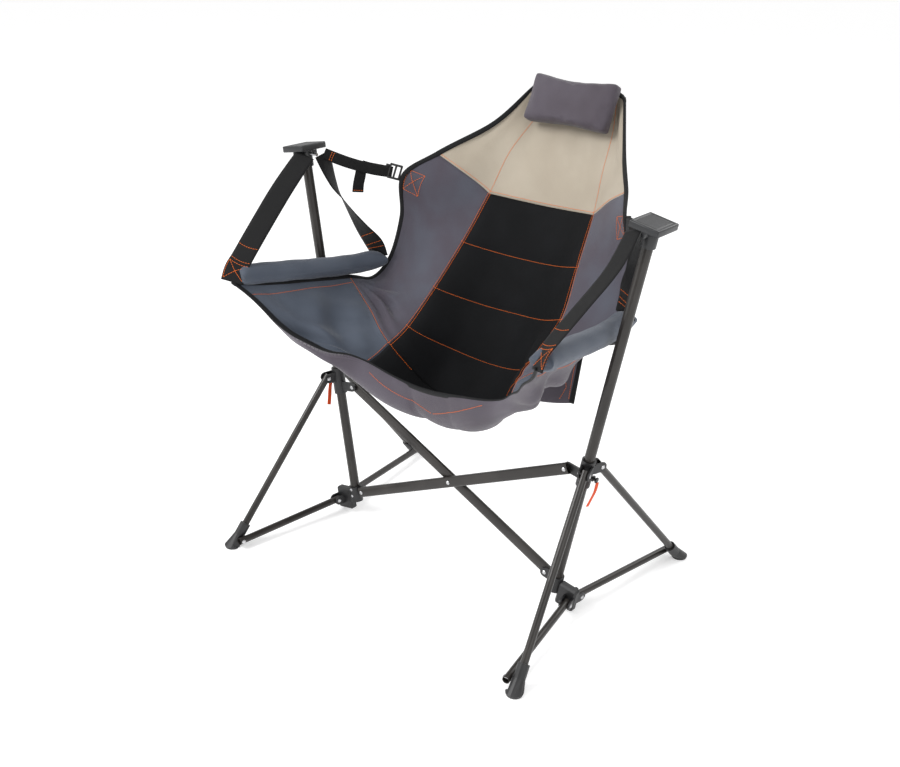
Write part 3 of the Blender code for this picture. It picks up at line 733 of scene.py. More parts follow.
def tube_mesh(name: str, grid: np.ndarray, long: np.ndarray, round_about: float) -> bpy.types.Mesh:
    """A closed tube through rings of points.

    Args:
        name: the mesh's name.
        grid: the rings, as rings by points by 3.
        long: each ring's distance along the tube.
        round_about: the distance round it, for the cloth's coordinates.

    Returns:
        The mesh, facing outwards.
    """
    rings, spokes = grid.shape[:2]
    index = np.arange(rings * spokes).reshape(rings, spokes)
    after = np.roll(index, -1, axis=1)
    faces = np.stack([index[:-1], after[:-1], after[1:], index[1:]], -1).reshape(-1, 4).tolist()
    faces += [index[0][::-1].tolist(), index[-1].tolist()]
    mesh = bpy.data.meshes.new(name)
    mesh.from_pydata(grid.reshape(-1, 3).tolist(), [], faces)
    lay_uv(mesh, np.stack(np.meshgrid(np.linspace(0, round_about, spokes), long), -1).reshape(-1, 2))
    return face_outwards(mesh)


def lengths_along(points: np.ndarray) -> np.ndarray:
    """How far along a route each of its points lies."""
    return np.concatenate([[0], np.cumsum(np.linalg.norm(np.diff(points, axis=0), axis=1))])


def slab_mesh(name: str, top: np.ndarray, bottom: np.ndarray, uv: np.ndarray) -> bpy.types.Mesh:
    """A thin closed sheet between two grids of points.

    Args:
        name: the mesh's name.
        top: points of the face that is seen, as rows by columns by 3.
        bottom: points of the other face.
        uv: coordinates along the cloth in metres, as rows by columns by 2.

    Returns:
        The mesh, facing outwards.
    """
    rows, columns = top.shape[:2]
    count = rows * columns
    points = np.concatenate([top.reshape(-1, 3), bottom.reshape(-1, 3)])
    index = np.arange(count).reshape(rows, columns)
    a, b, c, d = index[:-1, :-1], index[:-1, 1:], index[1:, 1:], index[1:, :-1]
    faces = np.stack([a, b, c, d], -1).reshape(-1, 4).tolist()
    faces += (np.stack([d, c, b, a], -1).reshape(-1, 4) + count).tolist()
    rim = list(index[0, :]) + list(index[1:, -1]) + list(index[-1, -2::-1]) + list(index[-2:0:-1, 0])
    for i, one in enumerate(rim):
        other = rim[(i + 1) % len(rim)]
        faces.append([int(other), int(one), int(one) + count, int(other) + count])
    mesh = bpy.data.meshes.new(name)
    mesh.from_pydata(points.tolist(), [], faces)
    lay_uv(mesh, np.concatenate([uv.reshape(-1, 2), uv.reshape(-1, 2)]))
    mesh.validate()
    return mesh


def hung_low(points: np.ndarray) -> np.ndarray:
    """Points of the hammock as it hangs, a little lower on the -X side, more so towards the seat.

    Args:
        points: points of the evenly hung hammock, as an array of rows of 3.

    Returns:
        The same array, with its heights changed.
    """
    loose = np.clip((LEVEL_ABOVE - points[..., 2]) / LEVEL_FADE, 0, 1)
    points[..., 2] += TILT_SLOPE * points[..., 0] * loose
    return points


def unit(vectors: np.ndarray) -> np.ndarray:
    """Vectors along the last axis, made one long."""
    return vectors / np.maximum(np.linalg.norm(vectors, axis=-1, keepdims=True), 1e-12)


# ------------------------------------------------------------------ the hammock's surface
# Half of the sling, from the middle outward at each row: rows run from the front edge, under the sitter, up the back.
SLING_ROWS = (
    (
        (0, -0.088, 0.447), (0.100, -0.092, 0.459), (0.195, -0.104, 0.485),
        (0.295, -0.180, 0.556), (0.388, -0.272, 0.655),
    ),
    (
        (0, -0.062, 0.374), (0.100, -0.066, 0.396), (0.190, -0.082, 0.458),
        (0.288, -0.140, 0.540), (0.376, -0.192, 0.637),
    ),
    (
        (0, -0.002, 0.338), (0.098, -0.012, 0.370), (0.182, -0.052, 0.464),
        (0.274, -0.072, 0.537), (0.361, -0.086, 0.618),
    ),
    (
        (0, 0.064, 0.346), (0.094, 0.038, 0.382), (0.173, -0.015, 0.487),
        (0.261, 0.013, 0.544), (0.343, 0.034, 0.600),
    ),
    (
        (0, 0.148, 0.428), (0.090, 0.120, 0.450), (0.168, 0.040, 0.515),
        (0.254, 0.080, 0.560), (0.334, 0.106, 0.582),
    ),
    (
        (0, 0.212, 0.535), (0.088, 0.190, 0.546), (0.172, 0.137, 0.580),
        (0.250, 0.146, 0.602), (0.321, 0.152, 0.626),
    ),
    (
        (0, 0.266, 0.645), (0.080, 0.252, 0.652), (0.155, 0.214, 0.673),
        (0.236, 0.192, 0.694), (0.308, 0.172, 0.716),
    ),
    (
        (0, 0.318, 0.760), (0.070, 0.308, 0.764), (0.140, 0.287, 0.772),
        (0.216, 0.222, 0.792), (0.291, 0.158, 0.812),
    ),
    (
        (0, 0.358, 0.852), (0.060, 0.352, 0.853), (0.126, 0.336, 0.855),
        (0.188, 0.286, 0.860), (0.246, 0.234, 0.860),
    ),
    (
        (0, 0.408, 0.930), (0.052, 0.407, 0.930), (0.104, 0.400, 0.929),
        (0.142, 0.368, 0.925), (0.174, 0.336, 0.920),
    ),
    (
        (0, 0.448, 1.008), (0.044, 0.447, 1.008), (0.080, 0.444, 1.008),
        (0.102, 0.430, 1.006), (0.117, 0.412, 1.002),
    ),
)
SEAT_SEAM_ROW = 3.0
QUILT_TOP_ROW = 7.0
TOP_ROW = 10.0
PANEL_COLUMN = 2.0
EDGE_COLUMN = 4.0
TOP_SEAM_RISE = 0.93


def spline_weights(at: np.ndarray, count: int) -> np.ndarray:
    """Weights that pull a smooth curve through evenly numbered points.

    Args:
        at: positions from 0 to count - 1.
        count: how many points there are.

    Returns:
        One row of weights for each position.
    """
    at = np.clip(at, 0, count - 1)
    start = np.clip(np.floor(at), 0, count - 2).astype(int)
    t = at - start
    parts = (-t + 2 * t**2 - t**3, 2 - 5 * t**2 + 3 * t**3, t + 4 * t**2 - 3 * t**3, t**3 - t**2)
    padded = np.zeros((len(at), count + 2))
    rows = np.arange(len(at))
    for step, part in enumerate(parts):
        padded[rows, start + step] += part / 2
    weights = padded[:, 1:-1].copy()
    weights[:, 0] += 2 * padded[:, 0]
    weights[:, 1] -= padded[:, 0]
    weights[:, -1] += 2 * padded[:, -1]
    weights[:, -2] -= padded[:, -1]
    return weights


class SlingSurface:
    """The smooth surface that the sling's panels, seams and stitches all lie on."""

    DROOP = 0.032
    FAN_RISE = 0.0150
    WING_RISE = 0.0125
    RIPPLE_RISE = 0.0060
    EDGE_RISE = 0.0022
    TOP_RISE = 0.0016
    SEAT_RISE = 0.0020
    CHANNEL_RISE = 0.0065

    def __init__(self) -> None:
        """Mirrors the half rows into a full grid of points."""
        rows = [[(-x, y, z) for x, y, z in reversed(row[1:])] + list(row) for row in SLING_ROWS]
        self.grid = np.array(rows, float)

    def raw(self, across: np.ndarray, along: np.ndarray) -> np.ndarray:
        """Points of the smooth surface without its folds.

        Args:
            across: columns.
            along: rows.

        Returns:
            The points.
        """
        by_row = spline_weights(along, self.grid.shape[0])
        by_column = spline_weights(across + EDGE_COLUMN, self.grid.shape[1])
        points = hung_low(np.einsum("nr,rck,nc->nk", by_row, self.grid, by_column))
        # the wing's front edge on -X droops in the middle
        near = np.exp(-(((across + 3.0) / 0.75) ** 2)) * np.clip(1 - along / 2.2, 0, 1) ** 1.3
        points[:, 2] -= self.DROOP * near
        return points

    @staticmethod
    def belly(across: np.ndarray, along: np.ndarray) -> np.ndarray:
        """How far the outer skin hangs below the inner cloth under the seat.

        Args:
            across: columns.
            along: rows.

        Returns:
            The distances in metres.
        """
        wide = np.sin(np.pi * np.clip((np.abs(across) - 0.5) / 3.5, 0, 1)) ** 0.7
        long = np.sin(np.pi * np.clip(along / 3.2, 0, 1)) ** 0.5
        deepest = np.where(across < 0, 0.042, 0.016)
        return (0.004 + deepest * wide) * long * np.clip(1.6 * (EDGE_COLUMN - np.abs(across)), 0, 1)

    @staticmethod
    def leant(across: np.ndarray, along: np.ndarray) -> np.ndarray:
        """Leans the rows as the cloth is cut: the top panel's lower seam climbs towards the edges.

        Args:
            across: columns.
            along: rows of the cut.

        Returns:
            Rows of the surface.
        """
        climb = np.clip((np.abs(across) - PANEL_COLUMN) / (EDGE_COLUMN - PANEL_COLUMN), 0, 1) * TOP_SEAM_RISE
        below = np.clip((along - SEAT_SEAM_ROW) / (QUILT_TOP_ROW - SEAT_SEAM_ROW), 0, 1)
        above = np.clip((TOP_ROW - along) / (TOP_ROW - QUILT_TOP_ROW), 0, 1)
        return along + climb * np.minimum(below, above)

    def folds(self, across: np.ndarray, along: np.ndarray) -> np.ndarray:
        """Height of the cloth's folds and sags.

        Args:
            across: columns.
            along: rows.

        Returns:
            The heights in metres.
        """
        c, r = np.abs(across), along
        # drag lines that fan out from the notch at the arm's rear end
        p, q = (EDGE_COLUMN - c) * 0.085, (r - 3.05) * 0.10
        reach, turn = np.hypot(p, q), np.arctan2(q, p)
        fan = np.exp(-(((reach - 0.095) / 0.060) ** 2)) * np.exp(-(((turn - 0.50) / 0.42) ** 2))
        ridge = np.sin(turn * 17.0 + 0.6 + 6 * reach)
        height = self.FAN_RISE * (ridge - 0.35 * ridge**3) * fan
        # loose cloth in the wing and along the edge under the arm
        wing = np.clip(c - 2.1, 0, 1) * np.clip(3.2 - r, 0, 1)
        inside = np.clip(4 - c, 0, 1) * wing
        height += self.WING_RISE * inside * np.sin(2.9 * across + 3.4 * r + 0.9 * np.sin(across + 1.7 * r))
        height += self.RIPPLE_RISE * inside * np.sin(6.1 * across - 4.6 * r + np.sin(3 * r))
        # the back's edge pulled tight between strap and top
        side = np.clip(c - 2.3, 0, 1) * np.clip(r - 4.6, 0, 1) * np.clip(8.4 - r, 0, 1)
        height += self.EDGE_RISE * side * np.sin(1.9 * c + 1.5 * r)
        # creases across the top panel
        top = np.clip(r - 7.2, 0, 1)
        height += self.TOP_RISE * top * np.sin(3.3 * across + 1.1 * r)
        height += 0.0010 * top * np.sin(1.7 * r + 6.1 * across)
        # the seat's slack
        seat = np.clip(2.1 - c, 0, 1) * np.clip(3.0 - r, 0, 1)
        return height + self.SEAT_RISE * seat * np.sin(2.2 * across + 3.0 * r)

    def puff(self, across: np.ndarray, along: np.ndarray) -> np.ndarray:
        """How far the quilting stands up between its sewn lines.

        Args:
            across: columns.
            along: rows.

        Returns:
            The heights in metres.
        """
        inside = (np.abs(across) < PANEL_COLUMN) & (along > SEAT_SEAM_ROW) & (along < QUILT_TOP_ROW)
        channel = np.sin(np.pi * (along - np.floor(along))) ** 0.55
        edge = np.clip((PANEL_COLUMN - np.abs(across)) / 0.32, 0, 1)
        dimple = 1 - 0.12 * np.sin(7 * across + 3 * np.floor(along)) * np.sin(np.pi * (along % 1))
        return np.where(inside, self.CHANNEL_RISE * channel * np.sin(edge * np.pi / 2) ** 0.6 * dimple, 0.0)

    def sample(self, across: np.ndarray, along: np.ndarray, lift: object, puffed: bool) -> tuple:
        """Points on the sling.

        Args:
            across: columns, from -4 at one edge to 4 at the other.
            along: rows, from 0 at the front edge to 10 at the top.
            lift: height above the folded cloth, in metres.
            puffed: whether the quilting stands up.

        Returns:
            The points and the surface's normals there, towards the sitter.
        """
        shape = np.shape(across)
        c, g = np.ravel(across).astype(float), np.ravel(along).astype(float)
        r = self.leant(c, g)
        step = 0.02
        side = self.raw(c + step, self.leant(c + step, g)) - self.raw(c - step, self.leant(c - step, g))
        ahead = self.raw(c, r + step) - self.raw(c, r - step)
        normal = unit(np.cross(side, ahead))
        height = self.folds(c, g) + np.ravel(np.broadcast_to(lift, shape))
        if puffed:
            height = height + self.puff(c, g)
        points = self.raw(c, r) + normal * height[:, None]
        return points.reshape(*shape, 3), normal.reshape(*shape, 3)

    def cloth_lengths(self, across: np.ndarray, along: np.ndarray) -> np.ndarray:
        """Distances along the cloth from its middle front.

        Args:
            across: columns, as a grid.
            along: rows, as a grid.

        Returns:
            The two distances of each point.
        """
        points, _ = self.sample(across, along, 0.0, False)
        wide = np.linalg.norm(np.diff(points, axis=1), axis=-1)
        long = np.linalg.norm(np.diff(points, axis=0), axis=-1)
        u = np.concatenate([np.zeros((points.shape[0], 1)), np.cumsum(wide, axis=1)], axis=1)
        v = np.concatenate([np.zeros((1, points.shape[1])), np.cumsum(long, axis=0)], axis=0)
        u -= u[:, u.shape[1] // 2][:, None]
        return np.stack([u, v], -1)


# ------------------------------------------------------------------ sewing
@dataclass
class Seamstress:
    """Collects sewn lines and makes each group of them one piece of raised thread."""

    material: bpy.types.Material
    pitch: float = 0.0050
    stitch: float = 0.0039
    width: float = 0.00095
    height: float = 0.0006
    points: list = field(default_factory=list)
    faces: list = field(default_factory=list)

    def sew(self, route: np.ndarray, normals: np.ndarray) -> None:
        """Adds a line of stitches.

        Args:
            route: points along the line.
            normals: the cloth's normals there.
        """
        route, normals = np.asarray(route, float), np.asarray(normals, float)
        length = lengths_along(route)
        count = max(int(length[-1] / self.pitch), 1)
        for i in range(count):
            middle = (i + 0.5) * length[-1] / count
            ends = [middle - self.stitch / 2, middle, middle + self.stitch / 2]
            spots = np.stack([np.interp(ends, length, route[:, k]) for k in range(3)], -1)
            up = unit(np.array([np.interp(middle, length, normals[:, k]) for k in range(3)]))
            ahead = unit(spots[2] - spots[0])
            side = unit(np.cross(up, ahead)) * self.width / 2
            self.add_stitch(spots, side, up)

    def add_stitch(self, spots: np.ndarray, side: np.ndarray, up: np.ndarray) -> None:
        """Adds one stitch: a low arch, rounded across, that dips into the cloth at both ends.

        Args:
            spots: its start, middle and end.
            side: half its width, across it.
            up: the cloth's normal.
        """
        base = len(self.points)
        for spot, rise in zip(spots, (-0.2, 1.0, -0.2)):
            for across, lift in ((-1.0, -0.35), (-0.6, 0.35), (0.6, 0.35), (1.0, -0.35)):
                self.points.append(spot + side * across + up * self.height * (lift + rise))
        for n in (0, 4):
            for i in range(4):
                j = (i + 1) % 4
                self.faces.append([base + n + j, base + n + i, base + n + 4 + i, base + n + 4 + j])
        self.faces.append([base, base + 1, base + 2, base + 3])
        self.faces.append([base + 11, base + 10, base + 9, base + 8])

    def finish(self, name: str) -> bpy.types.Object:
        """Makes the collected stitches one piece and starts afresh.

        Args:
            name: the piece's name.

        Returns:
            The piece.
        """
        mesh = bpy.data.meshes.new(name)
        mesh.from_pydata([tuple(p) for p in self.points], [], self.faces)
        deselect_all()
        piece = put_in_scene(name, mesh, self.material)
        face_outwards(mesh)
        self.points, self.faces = [], []
        return piece


# ------------------------------------------------------------------ the sling
@dataclass(frozen=True)
class Panel:
    """One cut piece of the sling, by its columns and rows."""

    name: str
    columns: tuple
    rows: tuple
    finish: str
    puffed: bool = False


@dataclass
class Sling:
    """The panelled sling: seat, wings, quilted back, sides and top over one outer skin, with bound edges."""

    finishes: Finishes
    surface: SlingSurface
    per_column: int = 16
    per_row: int = 15
    inner_low: float = 0.0002
    inner_high: float = 0.0013
    skin_low: float = -0.0013
    skin_high: float = -0.0001
    tape_reach: float = 0.0105
    tape_lift: float = 0.0027

    PANELS = (
        Panel("seat_panel", (-2, 2), (0, 3), "seat"),
        Panel("wing_left", (-4, -2), (0, 3), "wing"),
        Panel("wing_right", (2, 4), (0, 3), "wing"),
        Panel("back_quilt", (-2, 2), (3, 7), "quilt", True),
        Panel("back_side_left", (-4, -2), (3, 7), "side"),
        Panel("back_side_right", (2, 4), (3, 7), "side"),
        Panel("headrest_panel", (-4, 4), (7, 10), "beige"),
    )

    def cloth(self, panel: Panel, low: float, high: float, hangs: bool = False) -> bpy.types.Object:
        """Makes one panel.

        Args:
            panel: which.
            low: height of its underside.
            high: height of its face.
            hangs: whether it hangs below the inner cloth under the seat.

        Returns:
            The piece.
        """
        columns = np.linspace(*panel.columns, (panel.columns[1] - panel.columns[0]) * self.per_column + 1)
        rows = np.linspace(*panel.rows, (panel.rows[1] - panel.rows[0]) * self.per_row + 1)
        across, along = np.meshgrid(columns, rows)
        sag = self.surface.belly(across, along) if hangs else 0.0
        top, _ = self.surface.sample(across, along, high - sag, panel.puffed)
        bottom, _ = self.surface.sample(across, along, low - sag, False)
        uv = self.surface.cloth_lengths(across, along)
        return put_in_scene(panel.name, slab_mesh(panel.name, top, bottom, uv), getattr(self.finishes, panel.finish))

    def build(self) -> None:
        """Makes every panel, the skin and the bound edges."""
        for panel in self.PANELS:
            piece = self.cloth(panel, self.inner_low, self.inner_high)
            node = "seat_sling" if panel.rows[0] < SEAT_SEAM_ROW else "back_sling"
            hang(piece, "sling", node)
            if panel.puffed:
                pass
            else:
                self.declare(panel)
        whole = Panel("outer_skin", (-4, 4), (0, 10), "grey_purple")
        skin = self.cloth(whole, self.skin_low, self.skin_high, True)
        hang(skin, "sling", "seat_sling", "back_sling")
        self.declare(whole)
        self.bind_edges()

    def declare(self, panel: Panel) -> None:
        """Samples points over the panel, which are then thrown away.

        Args:
            panel: which.
        """
        columns = np.linspace(*panel.columns, 65)
        rows = np.linspace(*panel.rows, 65)
        across, along = np.meshgrid(columns, rows)
        points, _ = self.surface.sample(across, along, 0.0, False)

    def tape(self, name: str, across: np.ndarray, along: np.ndarray, inward: tuple) -> bpy.types.Object:
        """A binding tape folded over one edge of the sling.

        Args:
            name: the piece's name.
            across: columns along the edge.
            along: rows along the edge.
            inward: which way the sling lies, as steps of column and row.

        Returns:
            The piece.
        """
        edge, normal = self.surface.sample(across, along, 0.0, False)
        nearby, _ = self.surface.sample(across + inward[0] * 0.1, along + inward[1] * 0.1, 0.0, False)
        inner = unit(nearby - edge)
        inner = unit(inner - normal * np.sum(inner * normal, axis=1, keepdims=True))
        profile = [(1.0, 0.75), (0.8, 1.0), (0.4, 1.05), (0.1, 0.95), (-0.12, 0.5), (-0.18, 0.0)]
        profile += [(a, -b) for a, b in reversed(profile[:-1])]
        rings = []
        for reach, lift in profile:
            rings.append(edge + inner * reach * self.tape_reach + normal * lift * self.tape_lift)
        mesh = tube_mesh(name, np.stack(rings, 1), lengths_along(edge), 2.4 * self.tape_reach)
        return put_in_scene(name, mesh, self.finishes.binding)

    def bind_edges(self) -> None:
        """Binds the front edge, both sides and the top."""
        wide = np.linspace(-4, 4, 161)
        long = np.linspace(0, 10, 221)
        edges = (
            ("binding_front", wide, np.zeros_like(wide), (0, 1)),
            ("binding_top", wide, np.full_like(wide, 10.0), (0, -1)),
            ("binding_left", np.full_like(long, -4.0), long, (1, 0)),
            ("binding_right", np.full_like(long, 4.0), long, (-1, 0)),
        )
        for name, across, along, inward in edges:
            hang(self.tape(name, across, along, inward), "webbing", "seat_sling", "back_sling")

    def sew(self, seamstress: Seamstress) -> None:
        """Sews the sling's seams.

        Args:
            seamstress: who sews.
        """

        def line(across: object, along: object, lift: float = 0.0017, puffed: bool = False) -> None:
            """Sews one line.

            Args:
                across: its columns.
                along: its rows.
                lift: its height above the cloth.
                puffed: whether it lies on the raised quilting.
            """
            across, along = np.broadcast_arrays(np.asarray(across, float), np.asarray(along, float))
            points, normals = self.surface.sample(across, along, lift, puffed)
            seamstress.sew(points, normals)

        share = np.linspace(0, 1, 120)
        quilt = 3 + 4 * share
        for way in (-1, 1):
            line(way * (PANEL_COLUMN + 0.030), quilt)
            line(way * (PANEL_COLUMN - 0.030), quilt, 0.0015, True)
            line(way * 2.04, 3 * share)
            line(way * 2.0, 7 + 3 * share)
            line(way * (2 + 2 * share), 7.05 + 0 * share)
            line(way * (2.9 + 1.0 * share), 3.0 + 0 * share)
            line(way * (2 + 0.9 * share), 3.0 + 0 * share)
            line(way * 3.77, 0.12 + 2.85 * share)
            line(way * (2.0 - 0.55 * share), 3.0 + 0 * share)
        for row in (4.0, 5.0, 6.0):
            line(-2.06 + 4.12 * share, row)
        line(-2 + 4 * share, 7.05)
        corners = ((3.52, 6.05), (3.90, 6.00), (3.90, 6.42), (3.52, 6.48))
        for way in (-1, 1):
            for first, last in ((0, 1), (1, 2), (2, 3), (3, 0), (0, 2), (1, 3)):
                (c0, r0), (c1, r1) = corners[first], corners[last]
                line(way * (c0 + (c1 - c0) * share), r0 + (r1 - r0) * share)
        hang(seamstress.finish("stitching_inner"), "pull")
        # the outer skin's seams, on its lower face
        for way in (-1, 1):
            under_front = (way * (0.02 + 1.5 * share), 0.75 - 0.6 * share)
            under_arm = (np.full_like(share, way * 3.8), 0.2 + 2.7 * share)
            for across, along in (under_front, under_arm):
                lift = -0.0017 - self.surface.belly(across, along)
                points, normals = self.surface.sample(across, along, lift, False)
                seamstress.sew(points, -normals)
        hang(seamstress.finish("stitching_outer"), "pull")


# ------------------------------------------------------------------ webbing
class Ribbon:
    """A flat strap along a smooth route, whose width turns smoothly between given directions."""

    def __init__(self, route: list, across: list, widths: list, thickness: float, steps: int = 14) -> None:
        """Works out the strap's stations.

        Args:
            route: points on its middle line.
            across: the direction of its width at each.
            widths: its width at each.
            thickness: of the webbing.
            steps: how many stations there are between two points.
        """
        self.thickness = thickness
        self.middle = np.array([tuple(p) for p in smooth_route(route, steps)])
        self.turns = np.array([tuple(p) for p in smooth_route([Vector(a).normalized() for a in across], steps)])
        wide = smooth_route([Vector((w, 0, 0)) for w in widths], steps)
        self.widths = np.array([w.x for w in wide])
        ahead = unit(np.gradient(self.middle, axis=0))
        self.side = unit(self.turns - ahead * np.sum(self.turns * ahead, axis=1, keepdims=True))
        self.normal = unit(np.cross(ahead, self.side))
        self.length = lengths_along(self.middle)

    def at(self, distance: object, across: object, lift: float) -> tuple[np.ndarray, np.ndarray]:
        """Points on the strap's face.

        Args:
            distance: along the strap from its start, in metres.
            across: from -1 at one edge to 1 at the other.
            lift: above the face, negative for the other face.

        Returns:
            The points and normals.
        """
        distance, across = np.broadcast_arrays(np.asarray(distance, float), np.asarray(across, float))

        def blend(values: np.ndarray) -> np.ndarray:
            """Values at the distances."""
            return np.stack([np.interp(distance, self.length, values[:, k]) for k in range(3)], -1)

        half = np.interp(distance, self.length, self.widths)[:, None] / 2
        normal = unit(blend(self.normal)) * math.copysign(1, lift)
        points = blend(self.middle) + blend(self.side) * half * across[:, None]
        return points + normal * (self.thickness / 2 + abs(lift)), normal

    def mesh(self, name: str, columns: int = 9) -> bpy.types.Mesh:
        """The strap as a closed mesh with slightly thinner edges.

        Args:
            name: the mesh's name.
            columns: how many points lie across it.

        Returns:
            The mesh.
        """
        share = np.linspace(-1, 1, columns)
        half = self.widths[:, None, None] / 2
        flat = self.middle[:, None] + self.side[:, None] * half * share[None, :, None]
        thick = self.thickness / 2 * (1 - 0.55 * np.abs(share) ** 6)
        up = self.normal[:, None] * thick[None, :, None]
        u = share[None, :] * self.widths[:, None] / 2
        v = np.broadcast_to(self.length[:, None], u.shape)
        return face_outwards(slab_mesh(name, flat + up, flat - up, np.stack([u, v], -1)))


@dataclass
class SideStraps:
    """The two wide straps and the recline strap of one side, with their sewing."""

    finishes: Finishes
    seamstress: Seamstress
    side: Side
    width: float = 0.048
    thickness: float = 0.0022

    def ribbon(self, route: list, across: list, widths: list, thickness: float | None = None) -> Ribbon:
        """A strap given for the +X side, made on this side.

        Args:
            route: points on its middle line.
            across: the direction of its width at each.
            widths: its width at each.
            thickness: of the webbing, if not the usual one.

        Returns:
            The strap.
        """
        points = [Vector(hung_low(np.array(self.side.at(Vector(p))))) for p in route]
        turns = [self.side.at(Vector(a)) for a in across]
        return Ribbon(points, turns, widths, thickness or self.thickness)

    def add(self, name: str, ribbon: Ribbon, node: str) -> None:
        """Makes a strap a piece that hangs with the hammock."""
        piece = put_in_scene(name, ribbon.mesh(name), self.finishes.webbing)
        hang(piece, "webbing", node)

    def front(self) -> Ribbon:
        """The front strap, flat all the way and sewn over the arm's front end.

        Returns:
            The strap.
        """
        across = [(-0.90, 0.32, -0.31)] * 4 + [(-0.80, 0.44, -0.40)] * 2
        route = [(0.4140, -0.0230, 0.8640), (0.4180, -0.0900, 0.8050), (0.4060, -0.1700, 0.7440)]
        route += [(0.3950, -0.2300, 0.6980), (0.3915, -0.2560, 0.6740), (0.3900, -0.2690, 0.6500)]
        return self.ribbon(route, across, [self.width * 0.92] + [self.width] * 5)

    def rear(self) -> Ribbon:
        """The rear strap, which turns over on its way to the arm's rear end.

        Returns:
            The strap.
        """
        route = [(0.4060, 0.0210, 0.8600), (0.3920, 0.0400, 0.8000), (0.3760, 0.0620, 0.7540)]
        route += [(0.3550, 0.0900, 0.7020), (0.3370, 0.1140, 0.6600), (0.3290, 0.1260, 0.6280)]
        across = [(-0.2, 1.0, 0.5), (0.5, 0.9, 0.3), (1.0, 0.5, 0.0)]
        across += [(0.8, 0.2, -0.5), (0.5, 0.1, -0.8), (0.4, 0.2, -0.8)]
        return self.ribbon(route, across, [self.width * s for s in (0.8, 0.8, 0.7, 0.9, 1, 1)])

    def sew_front(self, strap: Ribbon) -> None:
        """Cross-stitched box and bars at the front strap's sewn end.

        Args:
            strap: the front strap.
        """
        end = float(strap.length[-1])
        share = np.linspace(-0.9, 0.9, 20)
        for face in (STITCH_LIFT, -STITCH_LIFT):
            for back in (0.088, 0.052, 0.044):
                bow = 0.004 * (1 - share**2)
                self.seamstress.sew(*strap.at(end - back + bow, share, face))
            low, high = end - 0.042, end - 0.006
            run = np.linspace(0, 1, 20)
            for start, finish in (((low, -0.85), (high, 0.85)), ((low, 0.85), (high, -0.85))):
                distance = start[0] + (finish[0] - start[0]) * run
                self.seamstress.sew(*strap.at(distance, start[1] + (finish[1] - start[1]) * run, face))
            for edge in (-0.88, 0.88):
                self.seamstress.sew(*strap.at(np.linspace(low, high, 20), edge, face))

    def sew_rear(self, strap: Ribbon) -> None:
        """Three sewn bars at the rear strap's end.

        Args:
            strap: the rear strap.
        """
        end = float(strap.length[-1])
        share = np.linspace(-0.9, 0.9, 20)
        for face in (STITCH_LIFT, -STITCH_LIFT):
            for back in (0.062, 0.036, 0.024):
                self.seamstress.sew(*strap.at(end - back + 0 * share, share, face))

    def recline(self) -> None:
        """The narrow strap from the cap to the back's edge: strap, ladder lock, sewn loop and hanging tail."""
        start = HANGER_POINT + Vector((-0.008, 0.023, -0.001))
        edge = Vector((0.2960, 0.1590, 0.8120))
        along = (edge - start).normalized()
        upright = [(0, 0, 1)] * 4
        stop = edge - along * 0.020
        sag = Vector((0, 0, -0.005))
        route = [start, start.lerp(stop, 0.35) + sag, start.lerp(stop, 0.7) + sag, stop]
        strap = self.ribbon(route, upright, [0.025] * 4, 0.0016)
        label = self.side.label
        self.add(f"recline_webbing_{label}", strap, f"recline_strap_{label}")
        share = np.linspace(-0.85, 0.85, 12)
        for face in (STITCH_LIFT, -STITCH_LIFT):
            for distance in (0.016, 0.021):
                self.seamstress.sew(*strap.at(distance + 0 * share, share, face))
        outward = along.cross(Vector((0, 0, 1))).normalized()
        fold = start.lerp(stop, 0.55) + sag * 0.9
        lift = outward * 0.0030
        route = [stop - along * 0.004 + lift * 0.6, fold + along * 0.020 + lift * 1.6, fold + lift * 1.4]
        doubled = self.ribbon(route, upright[:3], [0.0245] * 3, 0.0015)
        self.add(f"recline_return_{label}", doubled, f"recline_strap_{label}")
        tip = fold + lift * 1.6
        drops = ((0, 0, 0), (0.002, -0.002, -0.020), (0.006, -0.004, -0.040), (0.009, -0.003, -0.058))
        route = [tip + Vector(drop) for drop in drops]
        across = [tuple(along + Vector((0, 0, 0.55))), tuple(along), tuple(along), tuple(along)]
        tail = self.ribbon(route, across, [0.022, 0.025, 0.025, 0.0255], 0.0015)
        self.add(f"recline_tail_{label}", tail, f"recline_strap_{label}")
        for face in (STITCH_LIFT, -STITCH_LIFT):
            self.seamstress.sew(*tail.at(float(tail.length[-1]) - 0.005 + 0 * share, share, face))
        self.ladder_lock(edge - along * 0.014, along)

    def ladder_lock(self, middle: Vector, along: Vector) -> None:
        """The buckle: a frame with two rails and three round bars.

        Args:
            middle: its middle, for the +X side.
            along: the way from the cap to the back's edge.
        """
        place = frame_along(middle, along, Vector((0, 0, 1)))
        place = Matrix.Scale(self.side.value, 4, Vector((1, 0, 0))) @ place
        pieces = []
        for x in (-0.0150, 0.0150):
            pieces.append(rounded_box((x, 0, 0), (0.0046, 0.0070, 0.0300), 0.0016, 3))
        for z, radius in ((-0.0128, 0.0021), (0.0, 0.0024), (0.0128, 0.0024)):
            turned = {"location": (0, 0, z), "rotation": (0, math.pi / 2, 0)}
            bar = begin_primitive("cylinder", vertices=14, radius=radius, depth=0.030, **turned)
            apply_bevel(bar, 0.0004, 1)
            pieces.append(bar)
        pieces.append(rounded_box((0, 0.0042, -0.017), (0.0260, 0.0022, 0.0120), 0.0009, 2))
        label = self.side.label
        buckle = joined(pieces, f"ladder_lock_{label}")
        settle(buckle, place, self.finishes.plastic)
        hang(buckle, "plastic", f"recline_buckle_{label}")

